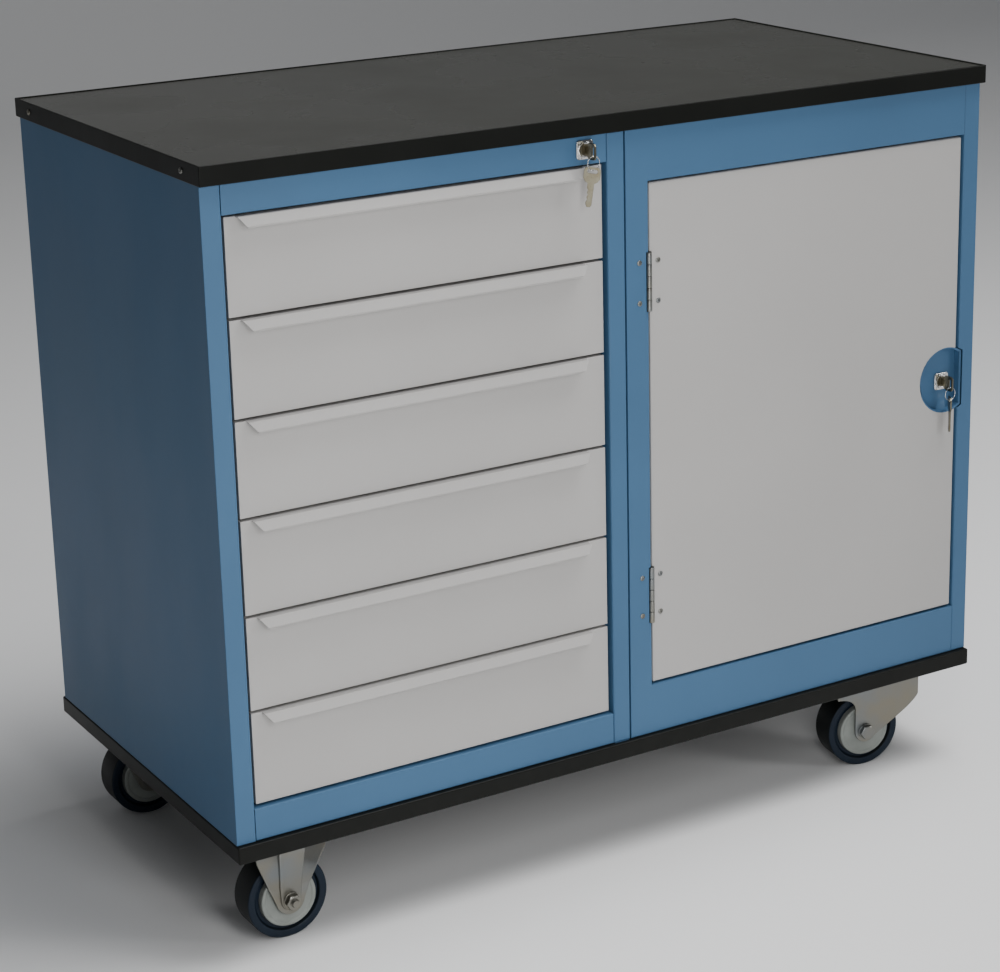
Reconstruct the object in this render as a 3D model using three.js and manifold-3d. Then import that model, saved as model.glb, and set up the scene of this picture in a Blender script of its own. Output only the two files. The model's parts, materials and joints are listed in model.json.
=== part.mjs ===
// A mobile workbench: a folded steel cabinet with six drawers and a cupboard, on four casters.
// Millimetres, +Z up, the front towards -Y. The origin is on the floor, under the middle of the bench.
import * as THREE from "three";
import { mergeVertices } from "three/addons/utils/BufferGeometryUtils.js";
import Module from "manifold-3d";

const wasm = await Module();
wasm.setup();

// ---------------------------------------------------------------------------
// Driving dimensions
// ---------------------------------------------------------------------------
const BENCH_WIDTH = 1050;
const BENCH_DEPTH = 526;
const BENCH_HEIGHT = 915;

const GAP = 0.3; // between pieces that rest on each other
const SHEET = 1.5; // cabinet steel
const THIN_SHEET = 1.2; // drawer and door steel

// Worktop: a board set down into a ring of steel angle
const WORKTOP_HEIGHT = 22;
const EDGING_WALL = 2.5;
const EDGING_FLANGE = 18;
const EDGING_LIP = 1.2; // how far the ring stands above the board
const BOARD_CLEARANCE = 0.4;

// Base tray that carries the casters
const BASE_HEIGHT = 21;
const BASE_INSET = 1.2;
const BASE_WALL = 2;
const BASE_FOOT = 3; // plate under the tray at each end, where the casters bolt on
const BASE_FOOT_LENGTH = 164;
const BASE_RIM = 16;

// Cabinet
const SIDE_SETBACK = 2.2; // from the worktop's edge to the cabinet's side
const FACE_SETBACK = 7.2;
const BACK_SETBACK = 6.2;
const STILE_WIDTH = 23.5;
const STILE_RETURN = 34;
const CENTRE_STILE_WIDTH = 22;
const CENTRE_RETURN = 20;
const PANEL_FLANGE = 20;
const DRAWER_BAY_WIDTH = 475.3;
const DOOR_FRAME_SEAM = 2.5;
const DOOR_STILE_WIDTH = 30.5;
const LOCK_RAIL_HEIGHT = 33.7;
const RAIL_FLANGE = 15;
const LOCK_RAIL_SEAM = 1;
const LOWER_RAIL_HEIGHT = 38.7;
const DOOR_TOP_RAIL = 62.2;
const DOOR_BOTTOM_RAIL = 62.7;

// Drawers
const DRAWER_COUNT = 6;
const FRONT_RECESS = 5;
const FRONT_DEPTH = 16;
const FRONT_SIDE_GAP = 4.5;
const FRONT_TOP_GAP = 3;
const FRONT_GAP = 3.3;
const LIP_LEFT_INSET = 12.5;
const LIP_RIGHT_INSET = 25;
const LIP_FORWARD = 8;
const LIP_SLOPE_OUT = 6.3;
const LIP_SLOPE_DOWN = 10;
const LIP_END_SLANT = 7.8;
const LIP_HEM = 2.5;
const RUNNER_SPACE = 16; // from the bay's edge to the drawer box
const BOX_LIFT = 8; // the box's floor above the front's lower edge
const BOX_RIM_DROP = 18; // below the front's top edge
const BOX_DEPTH = 440;
const BOX_RIM = 5;

// Drawer runners
const RAIL_DEPTH = 12.8;
const RAIL_HEIGHT = 19;
const RAIL_LIFT = 3.5;
const SLIDE_DEPTH = 10;
const SLIDE_CLEARANCE = 0.5;
const RAIL_START = 36;
const RAIL_BACK_SPACE = 20;
const POST_WIDTH = 25;
const POST_INSET = 60; // first post behind the cabinet's face, last post ahead of its back

// Drawer locking
const BAR_THICKNESS = 2.5;
const BAR_WIDTH = 11.5;
const BAR_SETBACK = 26; // behind the cabinet's face
const EAR_REACH = 13.5;
const EAR_HEIGHT = 10;
const EAR_LIFT = 38; // above the box's floor, unlocked
const TAB_LIFT = 52;
const TAB_HEIGHT = 14;
const TAB_REACH = 12;
const TAB_THICKNESS = 2;
const TAB_SETBACK = 31;
const CRANK_RADIUS = 9;
const CRANK_PIN_RADIUS = 2.5;
const CRANK_REST = -Math.PI / 4; // below the level, and as far above it when locked
const CRANK_THICKNESS = 2.6;
const CRANK_HALF_WIDTH = 5.5;
const CRANK_FROM_BAR = 0.8;
const CRANK_PIN_PROUD = 1.5; // past the bar
const BAR_HEAD_HALF = 8;

// Door
const DOOR_RECESS = 2;
const DOOR_DEPTH = 16;
const DOOR_GAP = 2.8;
const DOOR_GAP_HIGH = 2.6;
const DOOR_FLANGE = 12;
const STIFFENER_WIDTH = 60;
const STIFFENER_DEPTH = 13;

// Hinges
const HINGE_OFFSET = 1; // from the door frame's edge to the hinge pin
const HINGE_PIN_Y = 0.6; // pin behind the cabinet's face
const KNUCKLE_RADIUS = 3.5;
const KNUCKLE_COUNT = 5;
const HINGE_LENGTH = 70;
const HINGE_GAP = 0.4;
const HINGE_PIN_RADIUS = 1.6;
const HINGE_BORE_RADIUS = 2.1;
const HINGE_SIDES = 12; // of the pin, its bore and the rivets
const HINGE_LEAF = 1.7;
const HINGE_LEAF_WIDTH = 20;
const HINGE_NOTCH = 3;
const HINGE_FROM_DOORWAY = { upper: 118.5, lower: 115.4 }; // from its top and from its bottom
const RIVET_OFFSET = 13.5; // from the pin
const RIVET_SPREAD = 24;
const RIVET_RADIUS = 1.8;
const RIVET_HEAD_RADIUS = 3.3;
const RIVET_HEAD_HEIGHT = 1.2;

// Locks and keys
const LOCK_PLATE = 22;
const LOCK_PLATE_THICKNESS = 2.5;
const LOCK_PLATE_ROUND = 4;
const LOCK_BOSS_RADIUS = 9.4;
const LOCK_BOSS_HEIGHT = 1;
const BARREL_RADIUS = 9;
const PLUG_RADIUS = 6.5;
const LOCK_CLEARANCE = 0.4;
const PLUG_PROUD = 1.5;
const DRAWER_LOCK_FROM_BAY = 30.7; // left of the drawer bay's right edge
const DRAWER_LOCK_DROP = 15.7; // below the cabinet's top
const CAM_REACH = 30;
const CAM_HALF_WIDTH = 6.5;
const CAM_THICKNESS = 2.5;
const KEY_LENGTH = 45;
const KEY_THICKNESS = 2;
const KEY_BOW_LENGTH = 18.5;
const KEY_BOW_HALF = 9.5;
const KEY_BLADE_HALF = 3.8;
const KEY_SLOT_START = 2.6;
const KEY_SLOT_WIDTH = 4.4;
const KEY_SLOT_HALF = 6;
const KEY_TOOTH_PITCH = 2.6;
const KEY_STAND_OFF = 2; // bow to plug
const RING_RADIUS = 8;
const RING_WIRE = 0.8;
const RING_DROP = 4.8; // wire's centre below the lock's axis
const SPARE_KEY_LEAN = { tilt: THREE.MathUtils.degToRad(10), turn: THREE.MathUtils.degToRad(59) };
const DOOR_SPARE_LEAN = { tilt: 0, turn: THREE.MathUtils.degToRad(-31) };

// Door lock's dish
const DISH_RADIUS = 42;
const DISH_FLAT = 23.3; // from its centre to its straight side
const DISH_DEPTH = 11;
const DISH_FROM_EDGE = 15.5; // centre, from the door's free edge
const DISH_DROP = 1.85; // its centre below the doorway's middle
const DISH_CLEARANCE = 0.4;
const DISH_FLANGE = 7;
const NOTCH_CLEARANCE = 1.5;
const DOOR_LOCK_DROP = 3.4; // lock below the dish's centre

// Shelf
const SHELF_HEIGHT = 500;
const SHELF_EDGE = 25;
const SHELF_FRONT = 45;
const SHELF_SUPPORT = 12;
const SHELF_SUPPORT_LENGTH = 50;

// Casters
const WHEEL_RADIUS = 50;
const WHEEL_WIDTH = 38;
const TYRE_SHOULDER = 3.2;
const TYRE_ROUND = 0.9;
const TYRE_GROOVE = 5; // beside the rim, its width and its depth below the tyre's side
const TYRE_BEVEL = 2;
const RIM_RADIUS = 34.5;
const RIM_DISH = 1; // the rim's face inside the hub's end
const RIM_EDGE = 3;
const HUB_WIDTH = 46;
const HUB_RADIUS = 12;
const AXLE_RADIUS = 6;
const AXLE_CLEARANCE = 0.5;
const AXLE_HEX = { radius: 10, head: 6.5, nut: 7, end: 10 };
const CASTER_HEIGHT = 128;
const CASTER_PLATE = { x: 105, y: 85, z: 3 };
const FORK_SHEET = 3;
const FORK_CLEARANCE = 0.6;
const FIXED_CASTER = { fromSide: 78, fromFront: 64 };
const SWIVEL_CASTER = { fromSide: 96, fromFront: 64 };
const SWIVEL_TRAIL = 35;
const SWIVEL_TURN = THREE.MathUtils.degToRad(-10); // how far they are swivelled as the bench stands
const FIXED_FORK = { foot: 18, top: 46.5, shoulder: 18, taper: 4, splay: 10, splayStart: 16 };
const SWIVEL_FORK = {
  front: 42, // from the swivel's axis
  back: SWIVEL_TRAIL + 43,
  foot: 15,
  ear: 22, // the front ear's height
  hood: 15, // the height of the part over the wheel
  cupRadius: 31,
  raceRadius: 29,
  pinRadius: 7,
  pinHead: 11,
  drops: [5.3, 6, 11.7, 15.7, 21.7], // the cup, race, crown and king pin, below the top plate
};
const ROUND = 24; // sides of the round pieces
const ARC_STEPS = 12; // of an outline's arcs, half of the points that they get

// ---------------------------------------------------------------------------
// Places worked out from them
// ---------------------------------------------------------------------------
const SIDE = BENCH_WIDTH / 2 - SIDE_SETBACK;
const FACE = -BENCH_DEPTH / 2 + FACE_SETBACK;
const BACK = BENCH_DEPTH / 2 - BACK_SETBACK;
const BODY_BOTTOM = CASTER_HEIGHT + BASE_HEIGHT + GAP;
const BODY_TOP = BENCH_HEIGHT - WORKTOP_HEIGHT - GAP;

const BAY_LEFT = -SIDE + STILE_WIDTH;
const BAY_RIGHT = BAY_LEFT + DRAWER_BAY_WIDTH;
const BAY_BOTTOM = BODY_BOTTOM + LOWER_RAIL_HEIGHT;
const BAY_TOP = BODY_TOP - LOCK_RAIL_HEIGHT;
const DIVIDER = BAY_RIGHT + CENTRE_STILE_WIDTH; // the divider's face towards the cupboard
const DOOR_FRAME_LEFT = DIVIDER + DOOR_FRAME_SEAM;
const DOORWAY_LEFT = DOOR_FRAME_LEFT + DOOR_STILE_WIDTH;
const DOORWAY_RIGHT = SIDE - STILE_WIDTH;
const DOORWAY_BOTTOM = BODY_BOTTOM + DOOR_BOTTOM_RAIL;
const DOORWAY_TOP = BODY_TOP - DOOR_TOP_RAIL;
const BACK_SHEET = BACK - SHEET - GAP; // outer face of the back panel, inside the side panels' flanges

const DRAWER_PITCH = (BAY_TOP - FRONT_TOP_GAP - BAY_BOTTOM) / DRAWER_COUNT;
const FRONT_HEIGHT = DRAWER_PITCH - FRONT_GAP;
const FRONT_FACE = FACE + FRONT_RECESS;
const FRONT_BACK = FRONT_FACE + FRONT_DEPTH;
const BOX_LEFT = BAY_LEFT + RUNNER_SPACE;
const BOX_RIGHT = BAY_RIGHT - RUNNER_SPACE;
const BOX_FRONT = FRONT_BACK + GAP;
const BOX_HEIGHT = FRONT_HEIGHT - BOX_LIFT - BOX_RIM_DROP;
const BAR_FRONT = FACE + BAR_SETBACK;
const BAR_LEFT = BAY_RIGHT + SHEET;
const CRANK_REST_DROP = -CRANK_RADIUS * Math.sin(CRANK_REST);

const DOOR_FACE = FACE + DOOR_RECESS;
const DOOR_LEFT = DOORWAY_LEFT + DOOR_GAP;
const DOOR_RIGHT = DOORWAY_RIGHT - DOOR_GAP;
const DOOR_BOTTOM = DOORWAY_BOTTOM + DOOR_GAP_HIGH;
const DOOR_TOP = DOORWAY_TOP - DOOR_GAP_HIGH;
const HINGE = { x: DOORWAY_LEFT + HINGE_OFFSET, y: FACE + HINGE_PIN_Y };
const HINGE_HEIGHTS = {
  upper: DOORWAY_TOP - HINGE_FROM_DOORWAY.upper,
  lower: DOORWAY_BOTTOM + HINGE_FROM_DOORWAY.lower,
};
const DISH_X = DOOR_RIGHT - DISH_FROM_EDGE;
const DISH_HEIGHT = (DOORWAY_BOTTOM + DOORWAY_TOP) / 2 - DISH_DROP;
const DISH_FLOOR = DOOR_FACE + DISH_DEPTH;

const KEY_BOW_REACH = PLUG_PROUD + KEY_STAND_OFF + KEY_BOW_LENGTH; // key's end ahead of the lock plate
const RING_SETBACK = KEY_SLOT_START + KEY_SLOT_WIDTH / 2; // the ring behind the key's end
const DRAWER_LOCK = {
  x: BAY_RIGHT - DRAWER_LOCK_FROM_BAY,
  y: FACE - GAP - LOCK_PLATE_THICKNESS,
  z: BODY_TOP - DRAWER_LOCK_DROP,
  barrelEnd: BAR_FRONT - CRANK_FROM_BAR - CRANK_THICKNESS - LOCK_CLEARANCE,
};
const DOOR_LOCK = {
  x: DISH_X,
  y: DISH_FLOOR - GAP - LOCK_PLATE_THICKNESS,
  z: DISH_HEIGHT - DOOR_LOCK_DROP,
  barrelEnd: FACE + STILE_RETURN + 1,
};

// ---------------------------------------------------------------------------
// Geometry helpers
// ---------------------------------------------------------------------------
function block([x0, x1], [y0, y1], [z0, z1]) {
  const box = new THREE.BoxGeometry(x1 - x0, y1 - y0, z1 - z0);
  return box.translate((x0 + x1) / 2, (y0 + y1) / 2, (z0 + z1) / 2);
}

function toSolid(geometry) {
  const bare = geometry.clone();
  bare.deleteAttribute("normal");
  bare.deleteAttribute("uv");
  const merged = mergeVertices(bare, 1e-4);
  const mesh = new wasm.Mesh({
    numProp: 3,
    vertProperties: merged.attributes.position.array,
    triVerts: new Uint32Array(merged.index.array),
  });
  return new wasm.Manifold(mesh);
}

function toGeometry(solid) {
  const mesh = solid.getMesh();
  const geometry = new THREE.BufferGeometry();
  geometry.setAttribute("position", new THREE.BufferAttribute(mesh.vertProperties, mesh.numProp));
  geometry.setIndex(new THREE.BufferAttribute(mesh.triVerts, 1));
  geometry.computeVertexNormals();
  return geometry;
}

const join = (...pieces) => toGeometry(pieces.map(toSolid).reduce((whole, piece) => whole.add(piece)));
const overlap = (a, b) => toGeometry(toSolid(a).intersect(toSolid(b)));
function cut(geometry, ...tools) {
  return toGeometry(tools.map(toSolid).reduce((whole, tool) => whole.subtract(tool), toSolid(geometry)));
}

function extrude(shape, depth) {
  return new THREE.ExtrudeGeometry(shape, { depth, bevelEnabled: false, curveSegments: ARC_STEPS });
}
const YZ_SHAPE_ALONG_X = new THREE.Matrix4().makeBasis(
  new THREE.Vector3(0, 1, 0),
  new THREE.Vector3(0, 0, 1),
  new THREE.Vector3(1, 0, 0),
);
function alongX(shape, [x0, x1]) {
  return extrude(shape, x1 - x0).applyMatrix4(YZ_SHAPE_ALONG_X).translate(x0, 0, 0);
}
const alongY = (shape, [y0, y1]) => extrude(shape, y1 - y0).rotateX(Math.PI / 2).translate(0, y1, 0);
const alongZ = (shape, [z0, z1]) => extrude(shape, z1 - z0).translate(0, 0, z0);

const polygon = (points) => new THREE.Shape(points.map(([u, v]) => new THREE.Vector2(u, v)));

function roundAlongY(radius, [y0, y1], x = 0, z = 0, sides = ROUND) {
  return new THREE.CylinderGeometry(radius, radius, y1 - y0, sides).translate(x, (y0 + y1) / 2, z);
}
function roundAlongZ(radius, [z0, z1], x = 0, y = 0, sides = ROUND) {
  const cylinder = new THREE.CylinderGeometry(radius, radius, z1 - z0, sides).rotateX(Math.PI / 2);
  return cylinder.translate(x, y, (z0 + z1) / 2);
}

// A strip of sheet folded along a path: the path is its outer face, and the steel lies to the path's right.
function foldedSection(path, thickness) {
  const outer = path.map(([u, v]) => new THREE.Vector2(u, v));
  const normals = outer.slice(1).map((point, i) => {
    const along = point.clone().sub(outer[i]).normalize();
    return new THREE.Vector2(along.y, -along.x);
  });
  const inner = outer.map((point, i) => {
    const before = normals[Math.max(i - 1, 0)];
    const after = normals[Math.min(i, normals.length - 1)];
    const mitre = before.clone().add(after).multiplyScalar(thickness / (1 + before.dot(after)));
    return point.clone().add(mitre);
  });
  return new THREE.Shape([...outer, ...inner.reverse()]);
}

// A C-section with its web at `web` and its two flanges ending at `open`.
function channelSection(open, web, low, high, thickness = SHEET) {
  const path = [[open, low], [web, low], [web, high], [open, high]];
  return foldedSection(web > open ? path.reverse() : path, thickness);
}

function roundedSquare(side, round) {
  const h = side / 2;
  const shape = new THREE.Shape();
  shape.absarc(h - round, h - round, round, 0, Math.PI / 2);
  shape.absarc(round - h, h - round, round, Math.PI / 2, Math.PI);
  shape.absarc(round - h, round - h, round, Math.PI, 1.5 * Math.PI);
  shape.absarc(h - round, round - h, round, 1.5 * Math.PI, 2 * Math.PI);
  return shape;
}

// A bar with round ends, from the origin to (u, v).
function link(u, v, radius) {
  const heading = Math.atan2(v, u);
  const shape = new THREE.Shape();
  shape.absarc(u, v, radius, heading - Math.PI / 2, heading + Math.PI / 2);
  shape.absarc(0, 0, radius, heading + Math.PI / 2, heading + 1.5 * Math.PI);
  return shape;
}

// A circle around (u, v) with a straight side at u + flat.
function dShape(u, v, radius, flat) {
  const half = Math.acos(flat / radius);
  const shape = new THREE.Shape();
  shape.absarc(u, v, radius, half, 2 * Math.PI - half);
  return shape;
}

// ---------------------------------------------------------------------------
// Finishes
// ---------------------------------------------------------------------------
function finish(color, roughness, metalness) {
  return new THREE.MeshStandardMaterial({ color, roughness, metalness });
}
const BLUE_PAINT = finish(0x4a789a, 0.5, 0);
const GREY_PAINT = finish(0xb3b3b2, 0.5, 0);
const BLACK_PAINT = finish(0x16191a, 0.35, 0);
const WORKTOP_FACE = finish(0x1d211f, 0.3, 0);
const ZINC = finish(0xb9bab2, 0.35, 0.9);
const CHROME = finish(0xd5d5d2, 0.12, 1);
const NICKEL_BRASS = finish(0xa39a80, 0.3, 1);
const RUBBER = finish(0x1c2a3c, 0.6, 0);
const RIM_PLASTIC = finish(0xc0c2be, 0.45, 0.1);

const bench = new THREE.Group();

function piece(name, geometry, material, parent = bench) {
  const mesh = new THREE.Mesh(geometry, material);
  mesh.name = name;
  parent.add(mesh);
  return mesh;
}

function groupAt(x, y, z, parent = bench) {
  const group = new THREE.Group();
  group.position.set(x, y, z);
  parent.add(group);
  return group;
}

// ---------------------------------------------------------------------------
// Worktop and base
// ---------------------------------------------------------------------------
function worktop() {
  const [w, d, bottom] = [BENCH_WIDTH / 2, BENCH_DEPTH / 2, BENCH_HEIGHT - WORKTOP_HEIGHT];
  const wall = EDGING_WALL;
  const flange = EDGING_WALL + EDGING_FLANGE;
  const ring = cut(
    block([-w, w], [-d, d], [bottom, BENCH_HEIGHT]),
    block([wall - w, w - wall], [wall - d, d - wall], [bottom + BASE_WALL, BENCH_HEIGHT + 1]),
    block([flange - w, w - flange], [flange - d, d - flange], [bottom - 1, bottom + BASE_WALL + 1]),
  );
  piece("worktop_edging", ring, BLACK_PAINT);
  const inset = EDGING_WALL + BOARD_CLEARANCE;
  const board = block(
    [inset - w, w - inset],
    [inset - d, d - inset],
    [bottom + BASE_WALL + GAP, BENCH_HEIGHT - EDGING_LIP],
  );
  piece("worktop_board", board, WORKTOP_FACE);
}

function baseTray() {
  const [w, d] = [BENCH_WIDTH / 2 - BASE_INSET, BENCH_DEPTH / 2 - BASE_INSET];
  const top = CASTER_HEIGHT + BASE_HEIGHT;
  const floor = CASTER_HEIGHT + BASE_FOOT;
  const middle = w - BASE_FOOT_LENGTH;
  const tray = cut(
    block([-w, w], [-d, d], [CASTER_HEIGHT, top]),
    block([BASE_WALL - w, w - BASE_WALL], [BASE_WALL - d, d - BASE_WALL], [floor, top - BASE_WALL]),
    block([-middle, middle], [BASE_RIM - d, d - BASE_RIM], [CASTER_HEIGHT - 1, floor + 1]),
  );
  piece("base_tray", tray, BLACK_PAINT);
}

// ---------------------------------------------------------------------------
// Cabinet
// ---------------------------------------------------------------------------

// The side panel wraps round into the front stile, and round again along the stile's inner edge.
function sidePanel(side) {
  const stile = side * (SIDE - STILE_WIDTH);
  const outer = side * SIDE;
  const path = [
    [stile, FACE + STILE_RETURN],
    [stile, FACE],
    [outer, FACE],
    [outer, BACK],
    [outer - side * PANEL_FLANGE, BACK],
  ];
  const section = foldedSection(side > 0 ? path.reverse() : path, SHEET);
  const xRange = side > 0 ? [outer - PANEL_FLANGE, outer] : [outer, outer + PANEL_FLANGE];
  const yRange = [FACE, BACK - PANEL_FLANGE];
  return join(
    alongZ(section, [BODY_BOTTOM, BODY_TOP]),
    block(xRange, yRange, [BODY_TOP - SHEET, BODY_TOP]),
    block(xRange, yRange, [BODY_BOTTOM, BODY_BOTTOM + SHEET]),
  );
}

// Ledges that hold the shelf, on the face at `wall`, standing out to `tip`.
function shelfSupports(wall, tip) {
  const top = SHELF_HEIGHT - SHELF_EDGE - GAP;
  const starts = [FACE + SHELF_FRONT + 20, BACK - 2 * SHELF_SUPPORT_LENGTH];
  const xRange = [Math.min(wall, tip), Math.max(wall, tip)];
  return starts.map((y) => block(xRange, [y, y + SHELF_SUPPORT_LENGTH], [top - SHEET, top]));
}

function lockNotch() {
  const radius = DISH_RADIUS + NOTCH_CLEARANCE;
  const shape = dShape(DISH_X, DISH_HEIGHT, radius, DISH_FLAT + NOTCH_CLEARANCE);
  return alongY(shape, [FACE - 1, DISH_FLOOR + SHEET + NOTCH_CLEARANCE]);
}

function sidePanels() {
  piece("left_side_panel", sidePanel(-1), BLUE_PAINT);
  const wall = SIDE - SHEET / 2;
  const supports = shelfSupports(wall, SIDE - SHEET - SHELF_SUPPORT);
  const right = cut(join(sidePanel(1), ...supports), lockNotch());
  piece("right_side_panel", right, BLUE_PAINT);
}

function backPanel() {
  const section = channelSection(BACK_SHEET - RAIL_FLANGE, BACK_SHEET, BODY_BOTTOM, BODY_TOP);
  const half = SIDE - SHEET - GAP;
  piece("back_panel", alongX(section, [-half, half]), BLUE_PAINT);
}

// Two guides keep the lock bar upright against the divider.
function barGuides() {
  const inner = BAR_LEFT + BAR_WIDTH - 2;
  const bar = [BAR_FRONT - 0.5, BAR_FRONT + BAR_THICKNESS + 0.5];
  return [0.15, 0.85].map((share) => {
    const z = BAY_BOTTOM + share * (BAY_TOP - BAY_BOTTOM);
    return cut(
      block([inner, DIVIDER - SHEET / 2], [bar[0] - SHEET, bar[1] + SHEET], [z - 10, z + 10]),
      block([inner - 1, BAR_LEFT + BAR_WIDTH + 0.5], bar, [z - 11, z + 11]),
    );
  });
}

function divider() {
  const end = BACK_SHEET - SHEET - GAP;
  const path = [
    [DIVIDER, end],
    [DIVIDER, FACE],
    [BAY_RIGHT, FACE],
    [BAY_RIGHT, FACE + CENTRE_RETURN],
  ];
  const sheet = alongZ(foldedSection(path, SHEET), [BODY_BOTTOM, BODY_TOP]);
  const wall = DIVIDER - SHEET / 2;
  const whole = join(sheet, ...barGuides(), ...shelfSupports(wall, DIVIDER + SHELF_SUPPORT));
  const corner = [end - RAIL_FLANGE - 1, end + 1];
  const clear = SHEET + 2 * GAP;
  const x = [DIVIDER - 2 * SHEET, DIVIDER + 1];
  const notched = cut(
    whole,
    block(x, corner, [BODY_TOP - clear, BODY_TOP + 1]),
    block(x, corner, [BODY_BOTTOM - 1, BODY_BOTTOM + clear]),
  );
  piece("centre_divider", notched, BLUE_PAINT);
}

function drawerBayRails() {
  const rail = (low, high) => channelSection(FACE + RAIL_FLANGE, FACE, low, high);
  const span = [BAY_LEFT + GAP, BAY_RIGHT - LOCK_RAIL_SEAM];
  const lockRail = cut(
    alongX(rail(BAY_TOP, BODY_TOP), span),
    roundAlongY(BARREL_RADIUS + LOCK_CLEARANCE, [FACE - 1, FACE + SHEET + 1], DRAWER_LOCK.x, DRAWER_LOCK.z),
  );
  piece("lock_rail", lockRail, BLUE_PAINT);
  piece("lower_rail", alongX(rail(BODY_BOTTOM, BAY_BOTTOM), span), BLUE_PAINT);
}

function doorFrame() {
  const right = DOORWAY_RIGHT - GAP;
  const depth = [FACE, FACE + STILE_RETURN];
  const face = polygon([
    [DOOR_FRAME_LEFT, BODY_BOTTOM],
    [right, BODY_BOTTOM],
    [right, DOORWAY_BOTTOM],
    [DOORWAY_LEFT, DOORWAY_BOTTOM],
    [DOORWAY_LEFT, DOORWAY_TOP],
    [right, DOORWAY_TOP],
    [right, BODY_TOP],
    [DOOR_FRAME_LEFT, BODY_TOP],
  ]);
  const stileEdge = [DOORWAY_LEFT - SHEET, DOORWAY_LEFT];
  const frame = join(
    alongY(face, [FACE, FACE + SHEET]),
    block([DOOR_FRAME_LEFT, DOOR_FRAME_LEFT + SHEET], depth, [BODY_BOTTOM, BODY_TOP]),
    block(stileEdge, depth, [DOORWAY_BOTTOM - SHEET, DOORWAY_TOP + SHEET]),
    block([DOORWAY_LEFT - SHEET, right], depth, [DOORWAY_TOP, DOORWAY_TOP + SHEET]),
    block([DOORWAY_LEFT - SHEET, right], depth, [DOORWAY_BOTTOM - SHEET, DOORWAY_BOTTOM]),
    block([DOOR_FRAME_LEFT, right], depth, [BODY_TOP - SHEET, BODY_TOP]),
    block([DOOR_FRAME_LEFT, right], depth, [BODY_BOTTOM, BODY_BOTTOM + SHEET]),
  );
  const tools = hingeCuts(-1, FACE, SHEET);
  piece("door_frame", cut(frame, ...tools), BLUE_PAINT);
}

function shelf() {
  const x = [DIVIDER + 2 * GAP, SIDE - SHEET - 2 * GAP];
  const y = [FACE + SHELF_FRONT, BACK_SHEET - SHEET - 3];
  const pan = cut(
    block(x, y, [SHELF_HEIGHT - SHELF_EDGE, SHELF_HEIGHT]),
    block(
      [x[0] + THIN_SHEET, x[1] - THIN_SHEET],
      [y[0] + THIN_SHEET, y[1] - THIN_SHEET],
      [SHELF_HEIGHT - SHELF_EDGE - 1, SHELF_HEIGHT - THIN_SHEET],
    ),
  );
  piece("shelf", pan, BLUE_PAINT);
}

// ---------------------------------------------------------------------------
// Drawers: each is made around the lower edge of its own front, then lifted into its place.
// ---------------------------------------------------------------------------
const drawerBottom = (index) => BAY_TOP - FRONT_TOP_GAP - index * DRAWER_PITCH - FRONT_HEIGHT;

function drawerFront() {
  const [x0, x1] = [BAY_LEFT + FRONT_SIDE_GAP, BAY_RIGHT - FRONT_SIDE_GAP];
  const t = THIN_SHEET;
  const pan = cut(
    block([x0, x1], [FRONT_FACE, FRONT_BACK], [0, FRONT_HEIGHT]),
    block([x0 + t, x1 - t], [FRONT_FACE + t, FRONT_BACK + 1], [t, FRONT_HEIGHT - t]),
  );
  const foldY = FRONT_FACE - LIP_FORWARD;
  const slopeEnd = FRONT_HEIGHT - LIP_SLOPE_DOWN;
  const section = foldedSection(
    [
      [foldY - LIP_SLOPE_OUT + LIP_HEM, slopeEnd - LIP_HEM],
      [foldY - LIP_SLOPE_OUT, slopeEnd],
      [foldY, FRONT_HEIGHT],
      [FRONT_FACE + t / 2, FRONT_HEIGHT],
    ],
    t,
  );
  const [lipLeft, lipRight] = [x0 + LIP_LEFT_INSET, x1 - LIP_RIGHT_INSET];
  const low = slopeEnd - 2 * LIP_HEM;
  const slant = (LIP_END_SLANT * (FRONT_HEIGHT - low)) / LIP_SLOPE_DOWN;
  const outline = polygon([
    [lipLeft, FRONT_HEIGHT],
    [lipLeft + slant, low],
    [lipRight - slant, low],
    [lipRight, FRONT_HEIGHT],
  ]);
  const outlineBlock = alongY(outline, [foldY - 2 * LIP_SLOPE_OUT, FRONT_FACE + t]);
  const lip = overlap(alongX(section, [lipLeft, lipRight]), outlineBlock);
  return join(pan, lip);
}

function drawerBox() {
  const t = THIN_SHEET;
  const x = [BOX_LEFT, BOX_RIGHT];
  const y = [BOX_FRONT, BOX_FRONT + BOX_DEPTH];
  const z = [BOX_LIFT, BOX_LIFT + BOX_HEIGHT];
  const shell = cut(
    block(x, y, z),
    block([x[0] + t, x[1] - t], [y[0] + t, y[1] - t], [z[0] + t, z[1] + 1]),
  );
  const rims = [[x[0], x[0] + BOX_RIM], [x[1] - BOX_RIM, x[1]]].map((range) =>
    block(range, [y[0], y[1]], [z[1] - t, z[1]]),
  );
  const slideHeight = RAIL_HEIGHT - 2 * SHEET - 2 * SLIDE_CLEARANCE;
  const slideLow = BOX_LIFT + RAIL_LIFT + SHEET + SLIDE_CLEARANCE;
  const slides = [-1, 1].map((side) => {
    const wall = side < 0 ? BOX_LEFT : BOX_RIGHT;
    const [open, web] = [wall + side * SLIDE_DEPTH, wall - (side * t) / 2];
    const section = channelSection(open, web, slideLow, slideLow + slideHeight);
    return alongY(section, [BOX_FRONT + 2, BOX_FRONT + BOX_DEPTH]);
  });
  const tab = block(
    [BOX_RIGHT - t / 2, BOX_RIGHT + TAB_REACH],
    [FACE + TAB_SETBACK, FACE + TAB_SETBACK + TAB_THICKNESS],
    [BOX_LIFT + TAB_LIFT, BOX_LIFT + TAB_LIFT + TAB_HEIGHT],
  );
  return join(shell, ...rims, ...slides, tab);
}

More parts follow.
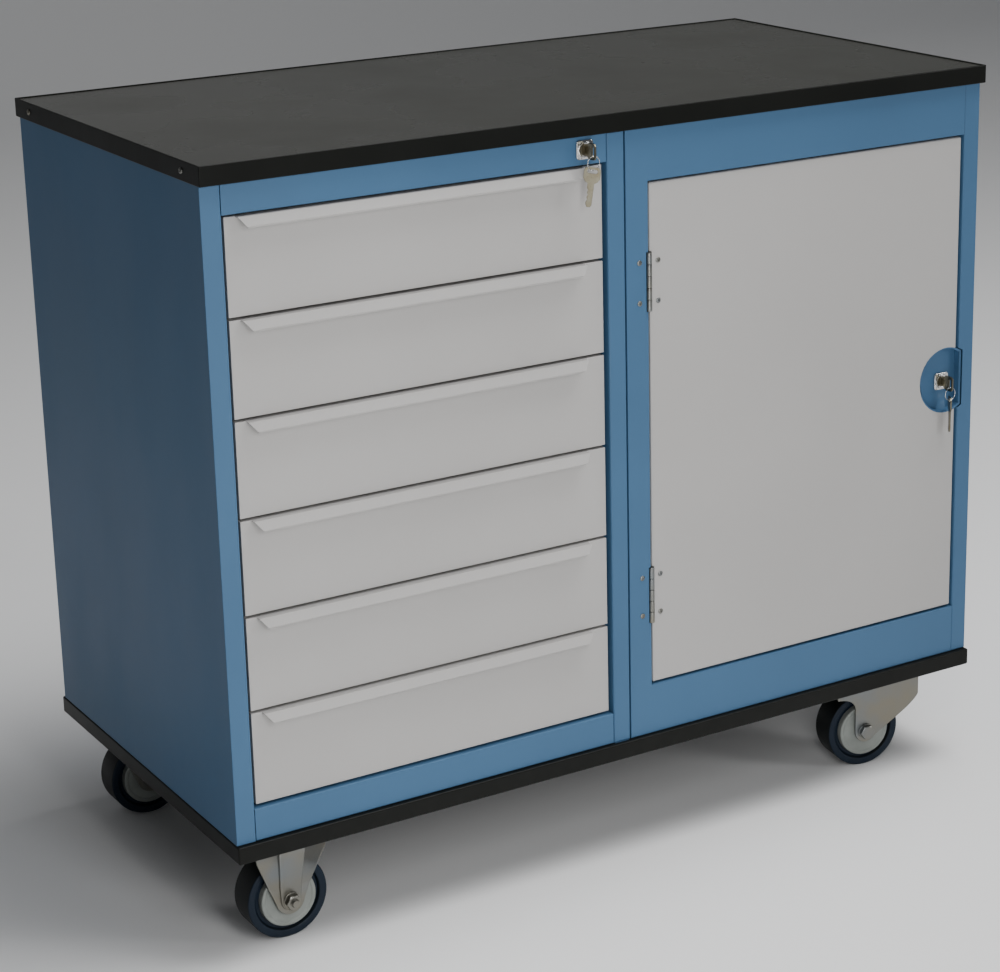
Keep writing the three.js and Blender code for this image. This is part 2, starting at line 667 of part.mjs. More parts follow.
function drawers() {
  const front = drawerFront();
  const box = drawerBox();
  for (let i = 0; i < DRAWER_COUNT; i++) {
    const place = groupAt(0, 0, drawerBottom(i));
    piece(`drawer_front_${i + 1}`, front, GREY_PAINT, place);
    piece(`drawer_box_${i + 1}`, box, GREY_PAINT, place);
  }
}

// A rack is two posts against the cabinet's wall, with one rail for each drawer.
function runnerRack(side) {
  const box = side < 0 ? BOX_LEFT : BOX_RIGHT;
  const wall = side < 0 ? -SIDE + SHEET + GAP : DIVIDER - SHEET - GAP;
  const railOpen = box + side * (SLIDE_CLEARANCE + 0.7);
  const railWeb = railOpen + side * RAIL_DEPTH;
  const railEnd = BACK - RAIL_BACK_SPACE;
  const low = drawerBottom(DRAWER_COUNT - 1) + BOX_LIFT;
  const high = drawerBottom(0) + BOX_LIFT + RAIL_HEIGHT + 2 * RAIL_LIFT;
  const posts = [FACE + POST_INSET, BACK - POST_INSET - POST_WIDTH].map((y) =>
    alongZ(channelSection(wall, railWeb - side * SHEET / 2, y, y + POST_WIDTH), [low, high]),
  );
  const rails = Array.from({ length: DRAWER_COUNT }, (_, i) => {
    const z = drawerBottom(i) + BOX_LIFT + RAIL_LIFT;
    return alongY(channelSection(railOpen, railWeb, z, z + RAIL_HEIGHT), [FACE + RAIL_START, railEnd]);
  });
  return join(...posts, ...rails);
}

function runnerRacks() {
  piece("left_runner_rack", runnerRack(-1), ZINC);
  piece("right_runner_rack", runnerRack(1), ZINC);
}

// The lock bar is one flat plate: an upright with an ear for each drawer and a slotted head for the crank.
function lockBar() {
  const { x, z } = DRAWER_LOCK;
  const slotZ = z - CRANK_REST_DROP;
  const right = BAR_LEFT + BAR_WIDTH;
  const lowest = drawerBottom(DRAWER_COUNT - 1) + BOX_LIFT + EAR_LIFT;
  const y = [BAR_FRONT, BAR_FRONT + BAR_THICKNESS];
  const ears = Array.from({ length: DRAWER_COUNT }, (_, i) => {
    const low = drawerBottom(i) + BOX_LIFT + EAR_LIFT;
    return block([BAR_LEFT - EAR_REACH, BAR_LEFT + 1], y, [low, low + EAR_HEIGHT]);
  });
  const plate = join(
    block([BAR_LEFT, right], y, [lowest, slotZ + BAR_HEAD_HALF]),
    block([x - 2, right], y, [slotZ - BAR_HEAD_HALF, slotZ + BAR_HEAD_HALF]),
    ...ears,
  );
  const pin = CRANK_PIN_RADIUS;
  const slotX = [x - CRANK_RADIUS * Math.sin(CRANK_REST) - pin - 1, x + CRANK_RADIUS + pin + 1];
  const slot = block(slotX, [y[0] - 1, y[1] + 1], [slotZ - pin - 0.6, slotZ + pin + 0.6]);
  piece("lock_bar", cut(plate, slot), ZINC);
}

// ---------------------------------------------------------------------------
// Door and hinges
// ---------------------------------------------------------------------------

// What a hinge takes out of the sheet on one side of it (-1 the frame, 1 the door).
function hingeCuts(side, face, sheet) {
  const edge = side < 0 ? DOORWAY_LEFT : DOOR_LEFT;
  const deep = face + sheet + GAP + HINGE_LEAF + 1;
  const notchX = [edge + side * HINGE_NOTCH, edge - side].sort((a, b) => a - b);
  return Object.values(HINGE_HEIGHTS).flatMap((z) => {
    const half = HINGE_LENGTH / 2 + HINGE_GAP;
    const notch = block(notchX, [FACE - 1, deep], [z - half, z + half]);
    const [radius, x] = [RIVET_RADIUS + HINGE_GAP, HINGE.x + side * RIVET_OFFSET];
    const holes = [-RIVET_SPREAD, RIVET_SPREAD].map((up) =>
      roundAlongY(radius, [face - 1, face + sheet + 1], x, z + up, HINGE_SIDES),
    );
    return [notch, ...holes];
  });
}

// One leaf of a hinge, around its pin: a plate behind the sheet at `face`, its knuckles and its rivets.
function hingeLeaf(side, face, sheet) {
  const leafY = [face + sheet + GAP, face + sheet + GAP + HINGE_LEAF].map((y) => y - HINGE.y);
  const half = HINGE_LENGTH / 2;
  const inner = side * (KNUCKLE_RADIUS + HINGE_GAP);
  const spanX = (a, b) => [Math.min(a, b), Math.max(a, b)];
  const pieces = [block(spanX(inner, side * HINGE_LEAF_WIDTH), leafY, [-half, half])];
  const pitch = HINGE_LENGTH / KNUCKLE_COUNT;
  for (let i = side < 0 ? 0 : 1; i < KNUCKLE_COUNT; i += 2) {
    const z = [-half + i * pitch + HINGE_GAP / 2, -half + (i + 1) * pitch - HINGE_GAP / 2];
    pieces.push(roundAlongZ(KNUCKLE_RADIUS, z, 0, 0, 16));
    pieces.push(block(spanX(0, side * (KNUCKLE_RADIUS + 1)), leafY, z));
  }
  for (const end of [-1, 1]) {
    const [x, z] = [side * RIVET_OFFSET, end * RIVET_SPREAD];
    const headY = face - GAP - HINGE.y;
    pieces.push(roundAlongY(RIVET_RADIUS, [headY - 0.1, leafY[1] - 0.1], x, z, HINGE_SIDES));
    pieces.push(roundAlongY(RIVET_HEAD_RADIUS, [headY - RIVET_HEAD_HEIGHT, headY], x, z, HINGE_SIDES));
  }
  const leaf = join(...pieces);
  if (side > 0) return cut(leaf, roundAlongZ(HINGE_BORE_RADIUS, [-half - 1, half + 1], 0, 0, HINGE_SIDES));
  return join(leaf, roundAlongZ(HINGE_PIN_RADIUS, [-half + 1, half - 1], 0, 0, HINGE_SIDES));
}

function hinges() {
  const frameLeaf = hingeLeaf(-1, FACE, SHEET);
  const doorLeaf = hingeLeaf(1, DOOR_FACE, THIN_SHEET);
  for (const [name, z] of Object.entries(HINGE_HEIGHTS)) {
    const place = groupAt(HINGE.x, HINGE.y, z);
    piece(`${name}_hinge_frame_leaf`, frameLeaf, ZINC, place);
    piece(`${name}_hinge_door_leaf`, doorLeaf, ZINC, place);
  }
}

function door() {
  const t = THIN_SHEET;
  const [x, z] = [[DOOR_LEFT, DOOR_RIGHT], [DOOR_BOTTOM, DOOR_TOP]];
  const [backY, f] = [DOOR_FACE + DOOR_DEPTH, DOOR_FLANGE];
  const pan = cut(
    block(x, [DOOR_FACE, backY], z),
    block([x[0] + t, x[1] - t], [DOOR_FACE + t, backY - t], [z[0] + t, z[1] - t]),
    block([x[0] + f, x[1] - f], [DOOR_FACE + t, backY + 1], [z[0] + f, z[1] - f]),
  );
  const mid = (DOOR_LEFT + DOOR_RIGHT) / 2;
  const half = STIFFENER_WIDTH / 2;
  const web = DOOR_FACE + STIFFENER_DEPTH;
  const hat = foldedSection(
    [
      [mid - half, DOOR_FACE + t / 2],
      [mid - half, web],
      [mid + half, web],
      [mid + half, DOOR_FACE + t / 2],
    ],
    t,
  );
  const dish = alongY(dShape(DISH_X, DISH_HEIGHT, DISH_RADIUS, DISH_FLAT + 2), [DOOR_FACE - 1, backY + 1]);
  const leaf = cut(
    join(pan, alongZ(hat, [z[0] + 2 * f, z[1] - 2 * f])),
    dish,
    ...hingeCuts(1, DOOR_FACE, t),
  );
  piece("door_panel", leaf, GREY_PAINT);
}

// The dish holds the door's lock below the door's face, and reaches past its free edge.
function lockDish() {
  const radius = DISH_RADIUS - DISH_CLEARANCE;
  const t = THIN_SHEET;
  const outer = alongY(dShape(DISH_X, DISH_HEIGHT, radius, DISH_FLAT), [DOOR_FACE, DISH_FLOOR + t]);
  const pocket = alongY(dShape(DISH_X, DISH_HEIGHT, radius - t, DISH_FLAT - t), [DOOR_FACE - 1, DISH_FLOOR]);
  const flangeY = [DOOR_FACE + t + GAP, DOOR_FACE + 2 * t + GAP];
  const flange = cut(
    alongY(dShape(DISH_X, DISH_HEIGHT, radius + DISH_FLANGE, DISH_FROM_EDGE - 2 * t), flangeY),
    alongY(dShape(DISH_X, DISH_HEIGHT, radius - t / 2, DISH_FLAT), [flangeY[0] - 1, flangeY[1] + 1]),
  );
  const holeY = [DISH_FLOOR - 1, DISH_FLOOR + t + 1];
  const hole = roundAlongY(BARREL_RADIUS + LOCK_CLEARANCE, holeY, DOOR_LOCK.x, DOOR_LOCK.z);
  piece("door_lock_dish", cut(join(outer, flange), pocket, hole), BLUE_PAINT);
}

// ---------------------------------------------------------------------------
// Locks: each is made around its own axis, with y = 0 at the front of its plate.
// ---------------------------------------------------------------------------

// A key, cut from sheet. `place` puts a distance from the bow's end and one from the key's middle line on it.
function keyBlank(place) {
  const [length, half, blade] = [KEY_BOW_LENGTH, KEY_BOW_HALF, KEY_BLADE_HALF];
  const bow = [[0, half - 3], [2, half - 0.5], [5, half], [length - 5.5, half], [length - 2, half - 2.5]];
  bow.push([length, blade]);
  const depths = [0, 1.6, 0.5, 2, 0.6, 1.8, 0.4, 0.4]; // of the cuts for the lock's pins
  const teeth = depths.map((depth, i) => [length + 5 + i * KEY_TOOTH_PITCH, blade - depth]);
  const lower = bow.map(([u, v]) => [u, -v]).concat([[KEY_LENGTH - 2.5, -blade], [KEY_LENGTH, -2]]);
  const outline = [...bow, ...teeth, [KEY_LENGTH, 1.5], ...lower.reverse()];
  const [u0, u1, top] = [KEY_SLOT_START, KEY_SLOT_START + KEY_SLOT_WIDTH, KEY_SLOT_HALF];
  const slot = [[u0, top - 1.5], [u0 + 1.5, top], [u1 - 1.5, top], [u1, top - 1.5]];
  const hole = slot.concat(slot.map(([u, v]) => [u, -v]).reverse());
  const depth = KEY_THICKNESS / 2;
  return cut(
    alongX(polygon(outline.map(place)), [-depth, depth]),
    alongX(polygon(hole.map(place)), [-depth - 1, depth + 1]),
  );
}

function lockPieces(prefix, lock, plugEnd, plugTail, lean) {
  const place = groupAt(lock.x, lock.y, lock.z);
  const bore = roundAlongY(PLUG_RADIUS + LOCK_CLEARANCE, [-5, 60]);
  const body = join(
    alongY(roundedSquare(LOCK_PLATE, LOCK_PLATE_ROUND), [0, LOCK_PLATE_THICKNESS]),
    roundAlongY(LOCK_BOSS_RADIUS, [-LOCK_BOSS_HEIGHT, 1]),
    roundAlongY(BARREL_RADIUS, [1, lock.barrelEnd - lock.y]),
  );
  piece(`${prefix}_lock_body`, cut(body, bore), CHROME, place);

  const plug = join(roundAlongY(PLUG_RADIUS, [-PLUG_PROUD, plugEnd + 0.1]), ...plugTail);
  const keyEnd = -KEY_BOW_REACH;
  const bladeEnd = keyEnd + KEY_LENGTH;
  const keyway = block(
    [-KEY_THICKNESS / 2 - GAP, KEY_THICKNESS / 2 + GAP],
    [-PLUG_PROUD - 1, Math.min(bladeEnd + 1, plugEnd - 1)],
    [-KEY_BLADE_HALF - GAP, KEY_BLADE_HALF + GAP],
  );
  piece(`${prefix}_lock_plug`, cut(plug, keyway), NICKEL_BRASS, place);

  piece(`${prefix}_key`, keyBlank(([u, v]) => [keyEnd + u, v]), NICKEL_BRASS, place);

  const ringPlace = groupAt(0, keyEnd + RING_SETBACK, -RING_DROP - RING_RADIUS, place);
  const ring = new THREE.TorusGeometry(RING_RADIUS, RING_WIRE, 6, 20).rotateX(Math.PI / 2);
  piece(`${prefix}_key_ring`, ring, CHROME, ringPlace);

  // The spare key hangs by the far edge of its slot from the bottom of the ring.
  const hang = -RING_RADIUS + RING_WIRE + GAP + KEY_SLOT_START;
  const spare = keyBlank(([u, v]) => [v, hang - u]);
  piece(`${prefix}_spare_key`, spare, NICKEL_BRASS, ringPlace).rotation.set(0, lean.tilt, lean.turn, "YXZ");
}

function drawerLock() {
  const plugEnd = DRAWER_LOCK.barrelEnd + LOCK_CLEARANCE - DRAWER_LOCK.y;
  const pin = [CRANK_RADIUS * Math.cos(CRANK_REST), CRANK_RADIUS * Math.sin(CRANK_REST)];
  const crankEnd = plugEnd + CRANK_THICKNESS;
  const pinEnd = crankEnd + CRANK_FROM_BAR + BAR_THICKNESS + CRANK_PIN_PROUD;
  const tail = [
    alongY(link(...pin, CRANK_HALF_WIDTH), [plugEnd, crankEnd]),
    roundAlongY(CRANK_PIN_RADIUS, [crankEnd - 0.5, pinEnd], ...pin, 12),
  ];
  lockPieces("drawer", DRAWER_LOCK, plugEnd, tail, SPARE_KEY_LEAN);
}

function doorLock() {
  const plugEnd = DOOR_LOCK.barrelEnd + LOCK_CLEARANCE - DOOR_LOCK.y;
  const cam = alongY(link(0, CAM_REACH, CAM_HALF_WIDTH), [plugEnd, plugEnd + CAM_THICKNESS]);
  lockPieces("door", DOOR_LOCK, plugEnd, [cam], DOOR_SPARE_LEAN);
}

// ---------------------------------------------------------------------------
// Casters: each is made around the floor below its mounting plate's centre, with its wheel across Y.
// ---------------------------------------------------------------------------
const PLATE_TOP = CASTER_HEIGHT - GAP;
const PLATE_BOTTOM = PLATE_TOP - CASTER_PLATE.z;
const LEG_INSIDE = HUB_WIDTH / 2 + FORK_CLEARANCE;
const LEG_OUTSIDE = LEG_INSIDE + FORK_SHEET;
const LEGS = [[-LEG_OUTSIDE, -LEG_INSIDE], [LEG_INSIDE, LEG_OUTSIDE]];

function plateBlock() {
  const { x, y } = CASTER_PLATE;
  return block([-x / 2, x / 2], [-y / 2, y / 2], [PLATE_BOTTOM, PLATE_TOP]);
}

// A closed profile turned round the axle, with a flat facet facing the floor.
function turned(profile) {
  const points = profile.concat([profile[0]]).map(([r, y]) => new THREE.Vector2(r, y));
  return new THREE.LatheGeometry(points, ROUND, Math.PI / ROUND);
}

// `nutSide` is 1 where the axle's nut is on the wheel's +Y side, and -1 where it is on the other.
function wheel(prefix, place, nutSide) {
  const w = WHEEL_WIDTH / 2;
  const tread = WHEEL_RADIUS / Math.cos(Math.PI / ROUND); // so that a facet meets the floor
  const seat = RIM_RADIUS + GAP;
  const groove = RIM_RADIUS + TYRE_GROOVE;
  const tyre = turned([
    [seat, TYRE_GROOVE - w],
    [groove, TYRE_GROOVE - w],
    [groove + TYRE_BEVEL, -w],
    [tread - TYRE_SHOULDER, -w],
    [tread - TYRE_ROUND, TYRE_ROUND - w],
    [tread, TYRE_SHOULDER - w],
    [tread, w - TYRE_SHOULDER],
    [tread - TYRE_ROUND, w - TYRE_ROUND],
    [tread - TYRE_SHOULDER, w],
    [groove + TYRE_BEVEL, w],
    [groove, w - TYRE_GROOVE],
    [seat, w - TYRE_GROOVE],
  ]);
  const [h, bore] = [HUB_WIDTH / 2, AXLE_RADIUS + AXLE_CLEARANCE];
  const rim = turned([
    [bore, -h],
    [HUB_RADIUS, -h],
    [HUB_RADIUS + RIM_EDGE, RIM_DISH + 1 - h],
    [RIM_RADIUS - RIM_EDGE, RIM_DISH - h],
    [RIM_RADIUS, RIM_DISH + RIM_EDGE - h],
    [RIM_RADIUS, h - RIM_EDGE - RIM_DISH],
    [RIM_RADIUS - RIM_EDGE, h - RIM_DISH],
    [HUB_RADIUS + RIM_EDGE, h - RIM_DISH - 1],
    [HUB_RADIUS, h],
    [bore, h],
  ]);
  piece(`${prefix}_tyre`, tyre, RUBBER, place);
  piece(`${prefix}_rim`, rim, RIM_PLASTIC, place);
  const headY = LEG_OUTSIDE + GAP;
  const outward = (side, length) => [side * headY, side * (headY + length)].sort((a, b) => a - b);
  const axle = join(
    roundAlongY(AXLE_RADIUS, [-headY - 1, headY + 1]),
    roundAlongY(AXLE_HEX.radius, outward(-nutSide, AXLE_HEX.head), 0, 0, 6),
    roundAlongY(AXLE_HEX.radius, outward(nutSide, AXLE_HEX.nut), 0, 0, 6),
    roundAlongY(AXLE_RADIUS - 1, outward(nutSide, AXLE_HEX.end)),
  );
  piece(`${prefix}_axle_bolt`, axle, ZINC, place);
}

const axleHole = (x) => roundAlongY(AXLE_RADIUS + GAP, [-LEG_OUTSIDE - 1, LEG_OUTSIDE + 1], x, WHEEL_RADIUS);

function fixedCaster(name, x, y) {
  const place = groupAt(x, y, 0);
  const { foot, top, shoulder, taper, splay, splayStart } = FIXED_FORK;
  const outline = new THREE.Shape();
  outline.moveTo(-top, PLATE_TOP);
  outline.lineTo(taper - top, PLATE_BOTTOM - shoulder);
  outline.absarc(0, WHEEL_RADIUS, foot, 1.05 * Math.PI, 1.95 * Math.PI);
  outline.lineTo(top - taper, PLATE_BOTTOM - shoulder);
  outline.lineTo(top, PLATE_TOP);
  // Each leg is upright beside the hub and leans outward above it.
  const [hubEdge, lean] = [WHEEL_RADIUS + splayStart, LEG_INSIDE + splay];
  const strip = (side) => polygon([
    [side * LEG_INSIDE, 0],
    [side * LEG_INSIDE, hubEdge],
    [side * lean, PLATE_BOTTOM + 1],
    [side * (lean + FORK_SHEET), PLATE_BOTTOM + 1],
    [side * LEG_OUTSIDE, hubEdge],
    [side * LEG_OUTSIDE, 0],
  ]);
  const reach = lean + 2 * FORK_SHEET;
  const mask = alongY(outline, [-reach, reach]);
  const legs = [-1, 1].map((side) => overlap(alongX(strip(side), [-top - 1, top + 1]), mask));
  piece(`${name}_fork`, cut(join(plateBlock(), ...legs), axleHole(0)), ZINC, place);
  wheel(name, groupAt(0, 0, WHEEL_RADIUS, place), -1);
}

function swivelCaster(name, x, y) {
  const place = groupAt(x, y, 0);
  const turnedPlace = groupAt(0, 0, 0, place);
  turnedPlace.rotation.z = SWIVEL_TURN;
  const { front, back, foot, ear, hood, cupRadius, raceRadius, pinRadius, pinHead } = SWIVEL_FORK;
  const [cup, race, crownTop, crownBottom, pinEnd] = SWIVEL_FORK.drops.map((drop) => PLATE_BOTTOM - drop);
  const topPlate = join(
    plateBlock(),
    roundAlongZ(cupRadius, [cup, PLATE_BOTTOM + 1]),
    roundAlongZ(pinRadius, [pinEnd, PLATE_BOTTOM]),
    roundAlongZ(pinHead, [pinEnd, pinEnd + 3]),
  );
  piece(`${name}_top_plate`, topPlate, ZINC, place);

  const leg = new THREE.Shape();
  leg.moveTo(front, crownTop);
  leg.lineTo(-back, crownTop);
  leg.lineTo(2 - back, crownTop - hood);
  leg.quadraticCurveTo(-SWIVEL_TRAIL - foot, crownTop - hood, -SWIVEL_TRAIL - foot, WHEEL_RADIUS + 2 * foot);
  leg.absarc(-SWIVEL_TRAIL, WHEEL_RADIUS, foot, Math.PI, 1.8 * Math.PI);
  leg.lineTo(front - 32, crownTop - ear - 28);
  leg.quadraticCurveTo(front - 4, crownTop - ear - 10, front, crownTop - ear);
  const fork = join(
    block([-back, front], [-LEG_OUTSIDE, LEG_OUTSIDE], [crownBottom, crownTop]),
    roundAlongZ(raceRadius, [crownTop - 1, race]),
    ...LEGS.map((range) => alongY(leg, range)),
  );
  const kingHole = roundAlongZ(pinRadius + FORK_CLEARANCE, [crownBottom - 1, race + 1]);
  piece(`${name}_fork`, cut(fork, kingHole, axleHole(-SWIVEL_TRAIL)), ZINC, turnedPlace);
  wheel(name, groupAt(-SWIVEL_TRAIL, 0, WHEEL_RADIUS, turnedPlace), 1);
}

function casters() {
  const fixedX = FIXED_CASTER.fromSide - BENCH_WIDTH / 2;
  const fixedY = BENCH_DEPTH / 2 - FIXED_CASTER.fromFront;
  const swivelX = BENCH_WIDTH / 2 - SWIVEL_CASTER.fromSide;
  const swivelY = BENCH_DEPTH / 2 - SWIVEL_CASTER.fromFront;
  fixedCaster("front_left_caster", fixedX, -fixedY);
  fixedCaster("rear_left_caster", fixedX, fixedY);
  swivelCaster("front_right_caster", swivelX, -swivelY);
  swivelCaster("rear_right_caster", swivelX, swivelY);
}

// ---------------------------------------------------------------------------
// The whole bench
// ---------------------------------------------------------------------------
worktop();
baseTray();
sidePanels();
backPanel();
divider();
drawerBayRails();
doorFrame();
shelf();
drawers();
runnerRacks();
lockBar();
hinges();
door();
lockDish();
drawerLock();
doorLock();
casters();

// The drawer lock's spare key stands out in front of the worktop: the origin is under the middle of it all.
const spareTurn = SPARE_KEY_LEAN.turn;
const spareReach = KEY_BOW_HALF * Math.cos(spareTurn) + (KEY_THICKNESS / 2) * Math.sin(spareTurn);
const frontmost = DRAWER_LOCK.y - KEY_BOW_REACH + RING_SETBACK - spareReach;
bench.position.y = -(frontmost + BENCH_DEPTH / 2) / 2;

export default bench;
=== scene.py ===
# %% [markdown]
# # A mobile workbench in sheet steel
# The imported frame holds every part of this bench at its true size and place: six drawers, a cupboard and
# four casters, sixty parts in all. What it lacks is the finish. Real sheet steel has round folds, powder
# coat has a faint orange peel, and zinc, chrome and rubber each catch the light in their own way.
# This lesson loads the frame, keeps its sizes, and gives each part its shape and finish.

import json
import math

import bmesh
import bpy
from mathutils import Matrix, Vector


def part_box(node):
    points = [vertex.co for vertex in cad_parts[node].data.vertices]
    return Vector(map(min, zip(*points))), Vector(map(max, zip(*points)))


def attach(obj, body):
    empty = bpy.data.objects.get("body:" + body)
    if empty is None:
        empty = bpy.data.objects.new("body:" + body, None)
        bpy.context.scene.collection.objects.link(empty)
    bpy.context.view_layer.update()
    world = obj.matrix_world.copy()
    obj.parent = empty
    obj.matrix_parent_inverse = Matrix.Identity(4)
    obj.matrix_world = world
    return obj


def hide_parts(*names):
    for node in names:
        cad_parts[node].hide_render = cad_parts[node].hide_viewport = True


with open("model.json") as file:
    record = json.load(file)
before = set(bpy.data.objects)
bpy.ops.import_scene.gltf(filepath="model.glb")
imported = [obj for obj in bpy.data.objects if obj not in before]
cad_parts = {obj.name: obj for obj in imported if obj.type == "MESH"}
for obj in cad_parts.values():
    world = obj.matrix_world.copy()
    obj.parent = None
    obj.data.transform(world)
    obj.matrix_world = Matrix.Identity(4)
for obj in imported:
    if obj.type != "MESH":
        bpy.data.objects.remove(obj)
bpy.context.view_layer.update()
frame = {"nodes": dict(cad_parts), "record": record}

MM = 0.001
nodes = frame["nodes"]
record = frame["record"]
body_of = {node: body for body, members in record["behaviour"]["bodies"].items() for node in members}
slot_of = {entry["node"]: entry["material_slot"] for entry in record["subparts"]}

# %% [markdown]
# ## The stage
# The bench stands on a plain pale floor that curves up into a backdrop far behind it, so there is no
# horizon line. A floor and a wall would also do, but the sweep keeps the background one even tone.

# %% Floor and backdrop
FLOOR_HALF = 9.0
SWEEP_START = 5.0  # behind the bench
SWEEP_RADIUS = 3.0
SWEEP_STEPS = 16


def sweep_floor():
    path = [(-FLOOR_HALF, 0.0), (SWEEP_START, 0.0)]
    for step in range(1, SWEEP_STEPS + 1):
        turn = math.pi / 2 * step / SWEEP_STEPS
        path.append((SWEEP_START + SWEEP_RADIUS * math.sin(turn), SWEEP_RADIUS * (1 - math.cos(turn))))
    path.append((SWEEP_START + SWEEP_RADIUS, 3 * SWEEP_RADIUS))
    verts = [(side * FLOOR_HALF, y, z) for y, z in path for side in (-1, 1)]
    faces = [(2 * i, 2 * i + 1, 2 * i + 3, 2 * i + 2) for i in range(len(path) - 1)]
    mesh = bpy.data.meshes.new("floor")
    mesh.from_pydata(verts, [], faces)
    mesh.polygons.foreach_set("use_smooth", [True] * len(faces))
    floor = bpy.data.objects.new("floor", mesh)
    bpy.context.collection.objects.link(floor)
    return floor


floor = sweep_floor()
print("floor", FLOOR_HALF * 2, "m wide")

# %% [markdown]
# ## The camera
# A long lens from the left front corner, a little above the worktop, keeps the bench's edges nearly
# parallel. The lens is shifted rather than turned, which is how a product photographer fills the frame.

# %% Camera
CAMERA_PLACE = Vector((-1.5790, -2.6573, 1.4229))
CAMERA_AZIMUTH = math.radians(-31.303)
CAMERA_ELEVATION = math.radians(16.506)
CAMERA_ROLL = math.radians(-1.176)


def product_camera():
    data = bpy.data.cameras.new("camera")
    data.lens = 93.09
    data.sensor_width = 36.0
    data.shift_x = -0.0444
    data.shift_y = -0.0791
    camera = bpy.data.objects.new("camera", data)
    bpy.context.collection.objects.link(camera)
    back = Vector((
        math.sin(CAMERA_AZIMUTH) * math.cos(CAMERA_ELEVATION),
        -math.cos(CAMERA_AZIMUTH) * math.cos(CAMERA_ELEVATION),
        math.sin(CAMERA_ELEVATION),
    ))
    right = (-back).cross(Vector((0, 0, 1))).normalized()
    up = right.cross(-back)
    turn = Matrix.Rotation(CAMERA_ROLL, 3, back)
    rotation = Matrix((turn @ right, turn @ up, back)).transposed()
    camera.matrix_world = Matrix.Translation(CAMERA_PLACE) @ rotation.to_4x4()
    bpy.context.scene.camera = camera
    return camera


camera = product_camera()
print("camera at", tuple(round(value, 2) for value in CAMERA_PLACE))

# %% [markdown]
# ## The light
# The main light stands low on the right and throws the keys' soft shadows to the left. A wide one in front
# of the drawers fades towards the door, and one overhead whitens the floor and draws the worktop's edges.
# The left side gets only what the floor and the room give back, so the corner between the two reads clearly.

# %% Lights
def soft_light(name, place, target, size, power, tint=(1.0, 1.0, 1.0), camera_sees=True):
    data = bpy.data.lights.new(name, "AREA")
    data.shape = "RECTANGLE"
    data.size, data.size_y = size
    data.energy = power
    data.color = tint
    light = bpy.data.objects.new(name, data)
    bpy.context.collection.objects.link(light)
    light.location = place
    light.visible_camera = camera_sees
    light.rotation_euler = (Vector(target) - Vector(place)).to_track_quat("-Z", "Y").to_euler()
    return light


BENCH_MIDDLE = (0.0, 0.0, 0.5)
soft_light("main_light", (3.0, -3.3, 1.75), BENCH_MIDDLE, (0.9, 0.9), 29)
soft_light("drawer_light", (-0.48, -1.5, 0.75), (-0.40, 0.0, 0.55), (0.4, 1.5), 13, camera_sees=False)
soft_light("top_light", (1.1, -0.8, 4.0), BENCH_MIDDLE, (2.2, 2.2), 160)

world = bpy.data.worlds.new("studio")
world.use_nodes = True
world.node_tree.nodes["Background"].inputs["Color"].default_value = (0.93, 0.96, 1.0, 1.0)
world.node_tree.nodes["Background"].inputs["Strength"].default_value = 0.12
bpy.context.scene.world = world
print("three lights")

# %% [markdown]
# ## Effects that several finishes share
# Powder coat, enamel, plating and rubber all vary a little over their surface. Each of those variations is a
# node group: it reads the Object coordinates, which travel with a part when it moves, and puts out plain
# numbers. The finishes then feed the numbers to colour, roughness and bump in their own strengths.

# %% Node group helpers
def new_group(name, inputs, outputs):
    tree = bpy.data.node_groups.new(name, "ShaderNodeTree")
    for title, value in inputs.items():
        socket = tree.interface.new_socket(title, in_out="INPUT", socket_type="NodeSocketFloat")
        socket.default_value = value
    for title in outputs:
        tree.interface.new_socket(title, in_out="OUTPUT", socket_type="NodeSocketFloat")
    return tree, tree.nodes.new("NodeGroupInput"), tree.nodes.new("NodeGroupOutput")


def add_noise(tree, scale, detail=2.0, stretch=None):
    """A noise over Object coordinates. `scale` is a number or a socket, and `stretch` squeezes it."""
    coords = tree.nodes.new("ShaderNodeTexCoord").outputs["Object"]
    if stretch:
        mapping = tree.nodes.new("ShaderNodeMapping")
        mapping.inputs["Scale"].default_value = stretch
        tree.links.new(coords, mapping.inputs["Vector"])
        coords = mapping.outputs["Vector"]
    noise = tree.nodes.new("ShaderNodeTexNoise")
    noise.inputs["Detail"].default_value = detail
    tree.links.new(coords, noise.inputs["Vector"])
    if isinstance(scale, (int, float)):
        noise.inputs["Scale"].default_value = scale
    else:
        tree.links.new(scale, noise.inputs["Scale"])
    return noise.outputs["Fac"]


def remap(tree, value, low, high, from_low=0.3, from_high=0.7):
    node = tree.nodes.new("ShaderNodeMapRange")
    for title, number in (("From Min", from_low), ("From Max", from_high), ("To Min", low), ("To Max", high)):
        node.inputs[title].default_value = number
    tree.links.new(value, node.inputs["Value"])
    return node.outputs["Result"]


# %% Orange peel: the fine waviness of a sprayed coat, and its broad clouds
peel_tree, peel_in, peel_out = new_group("orange_peel", {"Grain": 700.0, "Clouds": 5.0}, ["Peel", "Cloud"])
peel_tree.links.new(add_noise(peel_tree, peel_in.outputs["Grain"], 3.0), peel_out.inputs["Peel"])
peel_tree.links.new(add_noise(peel_tree, peel_in.outputs["Clouds"], 4.0), peel_out.inputs["Cloud"])

# %% Handling marks: soft smears where hands and rags have been
marks_tree, marks_in, marks_out = new_group("handling_marks", {"Scale": 12.0}, ["Mark"])
smears = add_noise(marks_tree, marks_in.outputs["Scale"], 6.0, stretch=(1.0, 1.0, 0.45))
marks_tree.links.new(remap(marks_tree, smears, 0.0, 1.0, 0.45, 0.75), marks_out.inputs["Mark"])

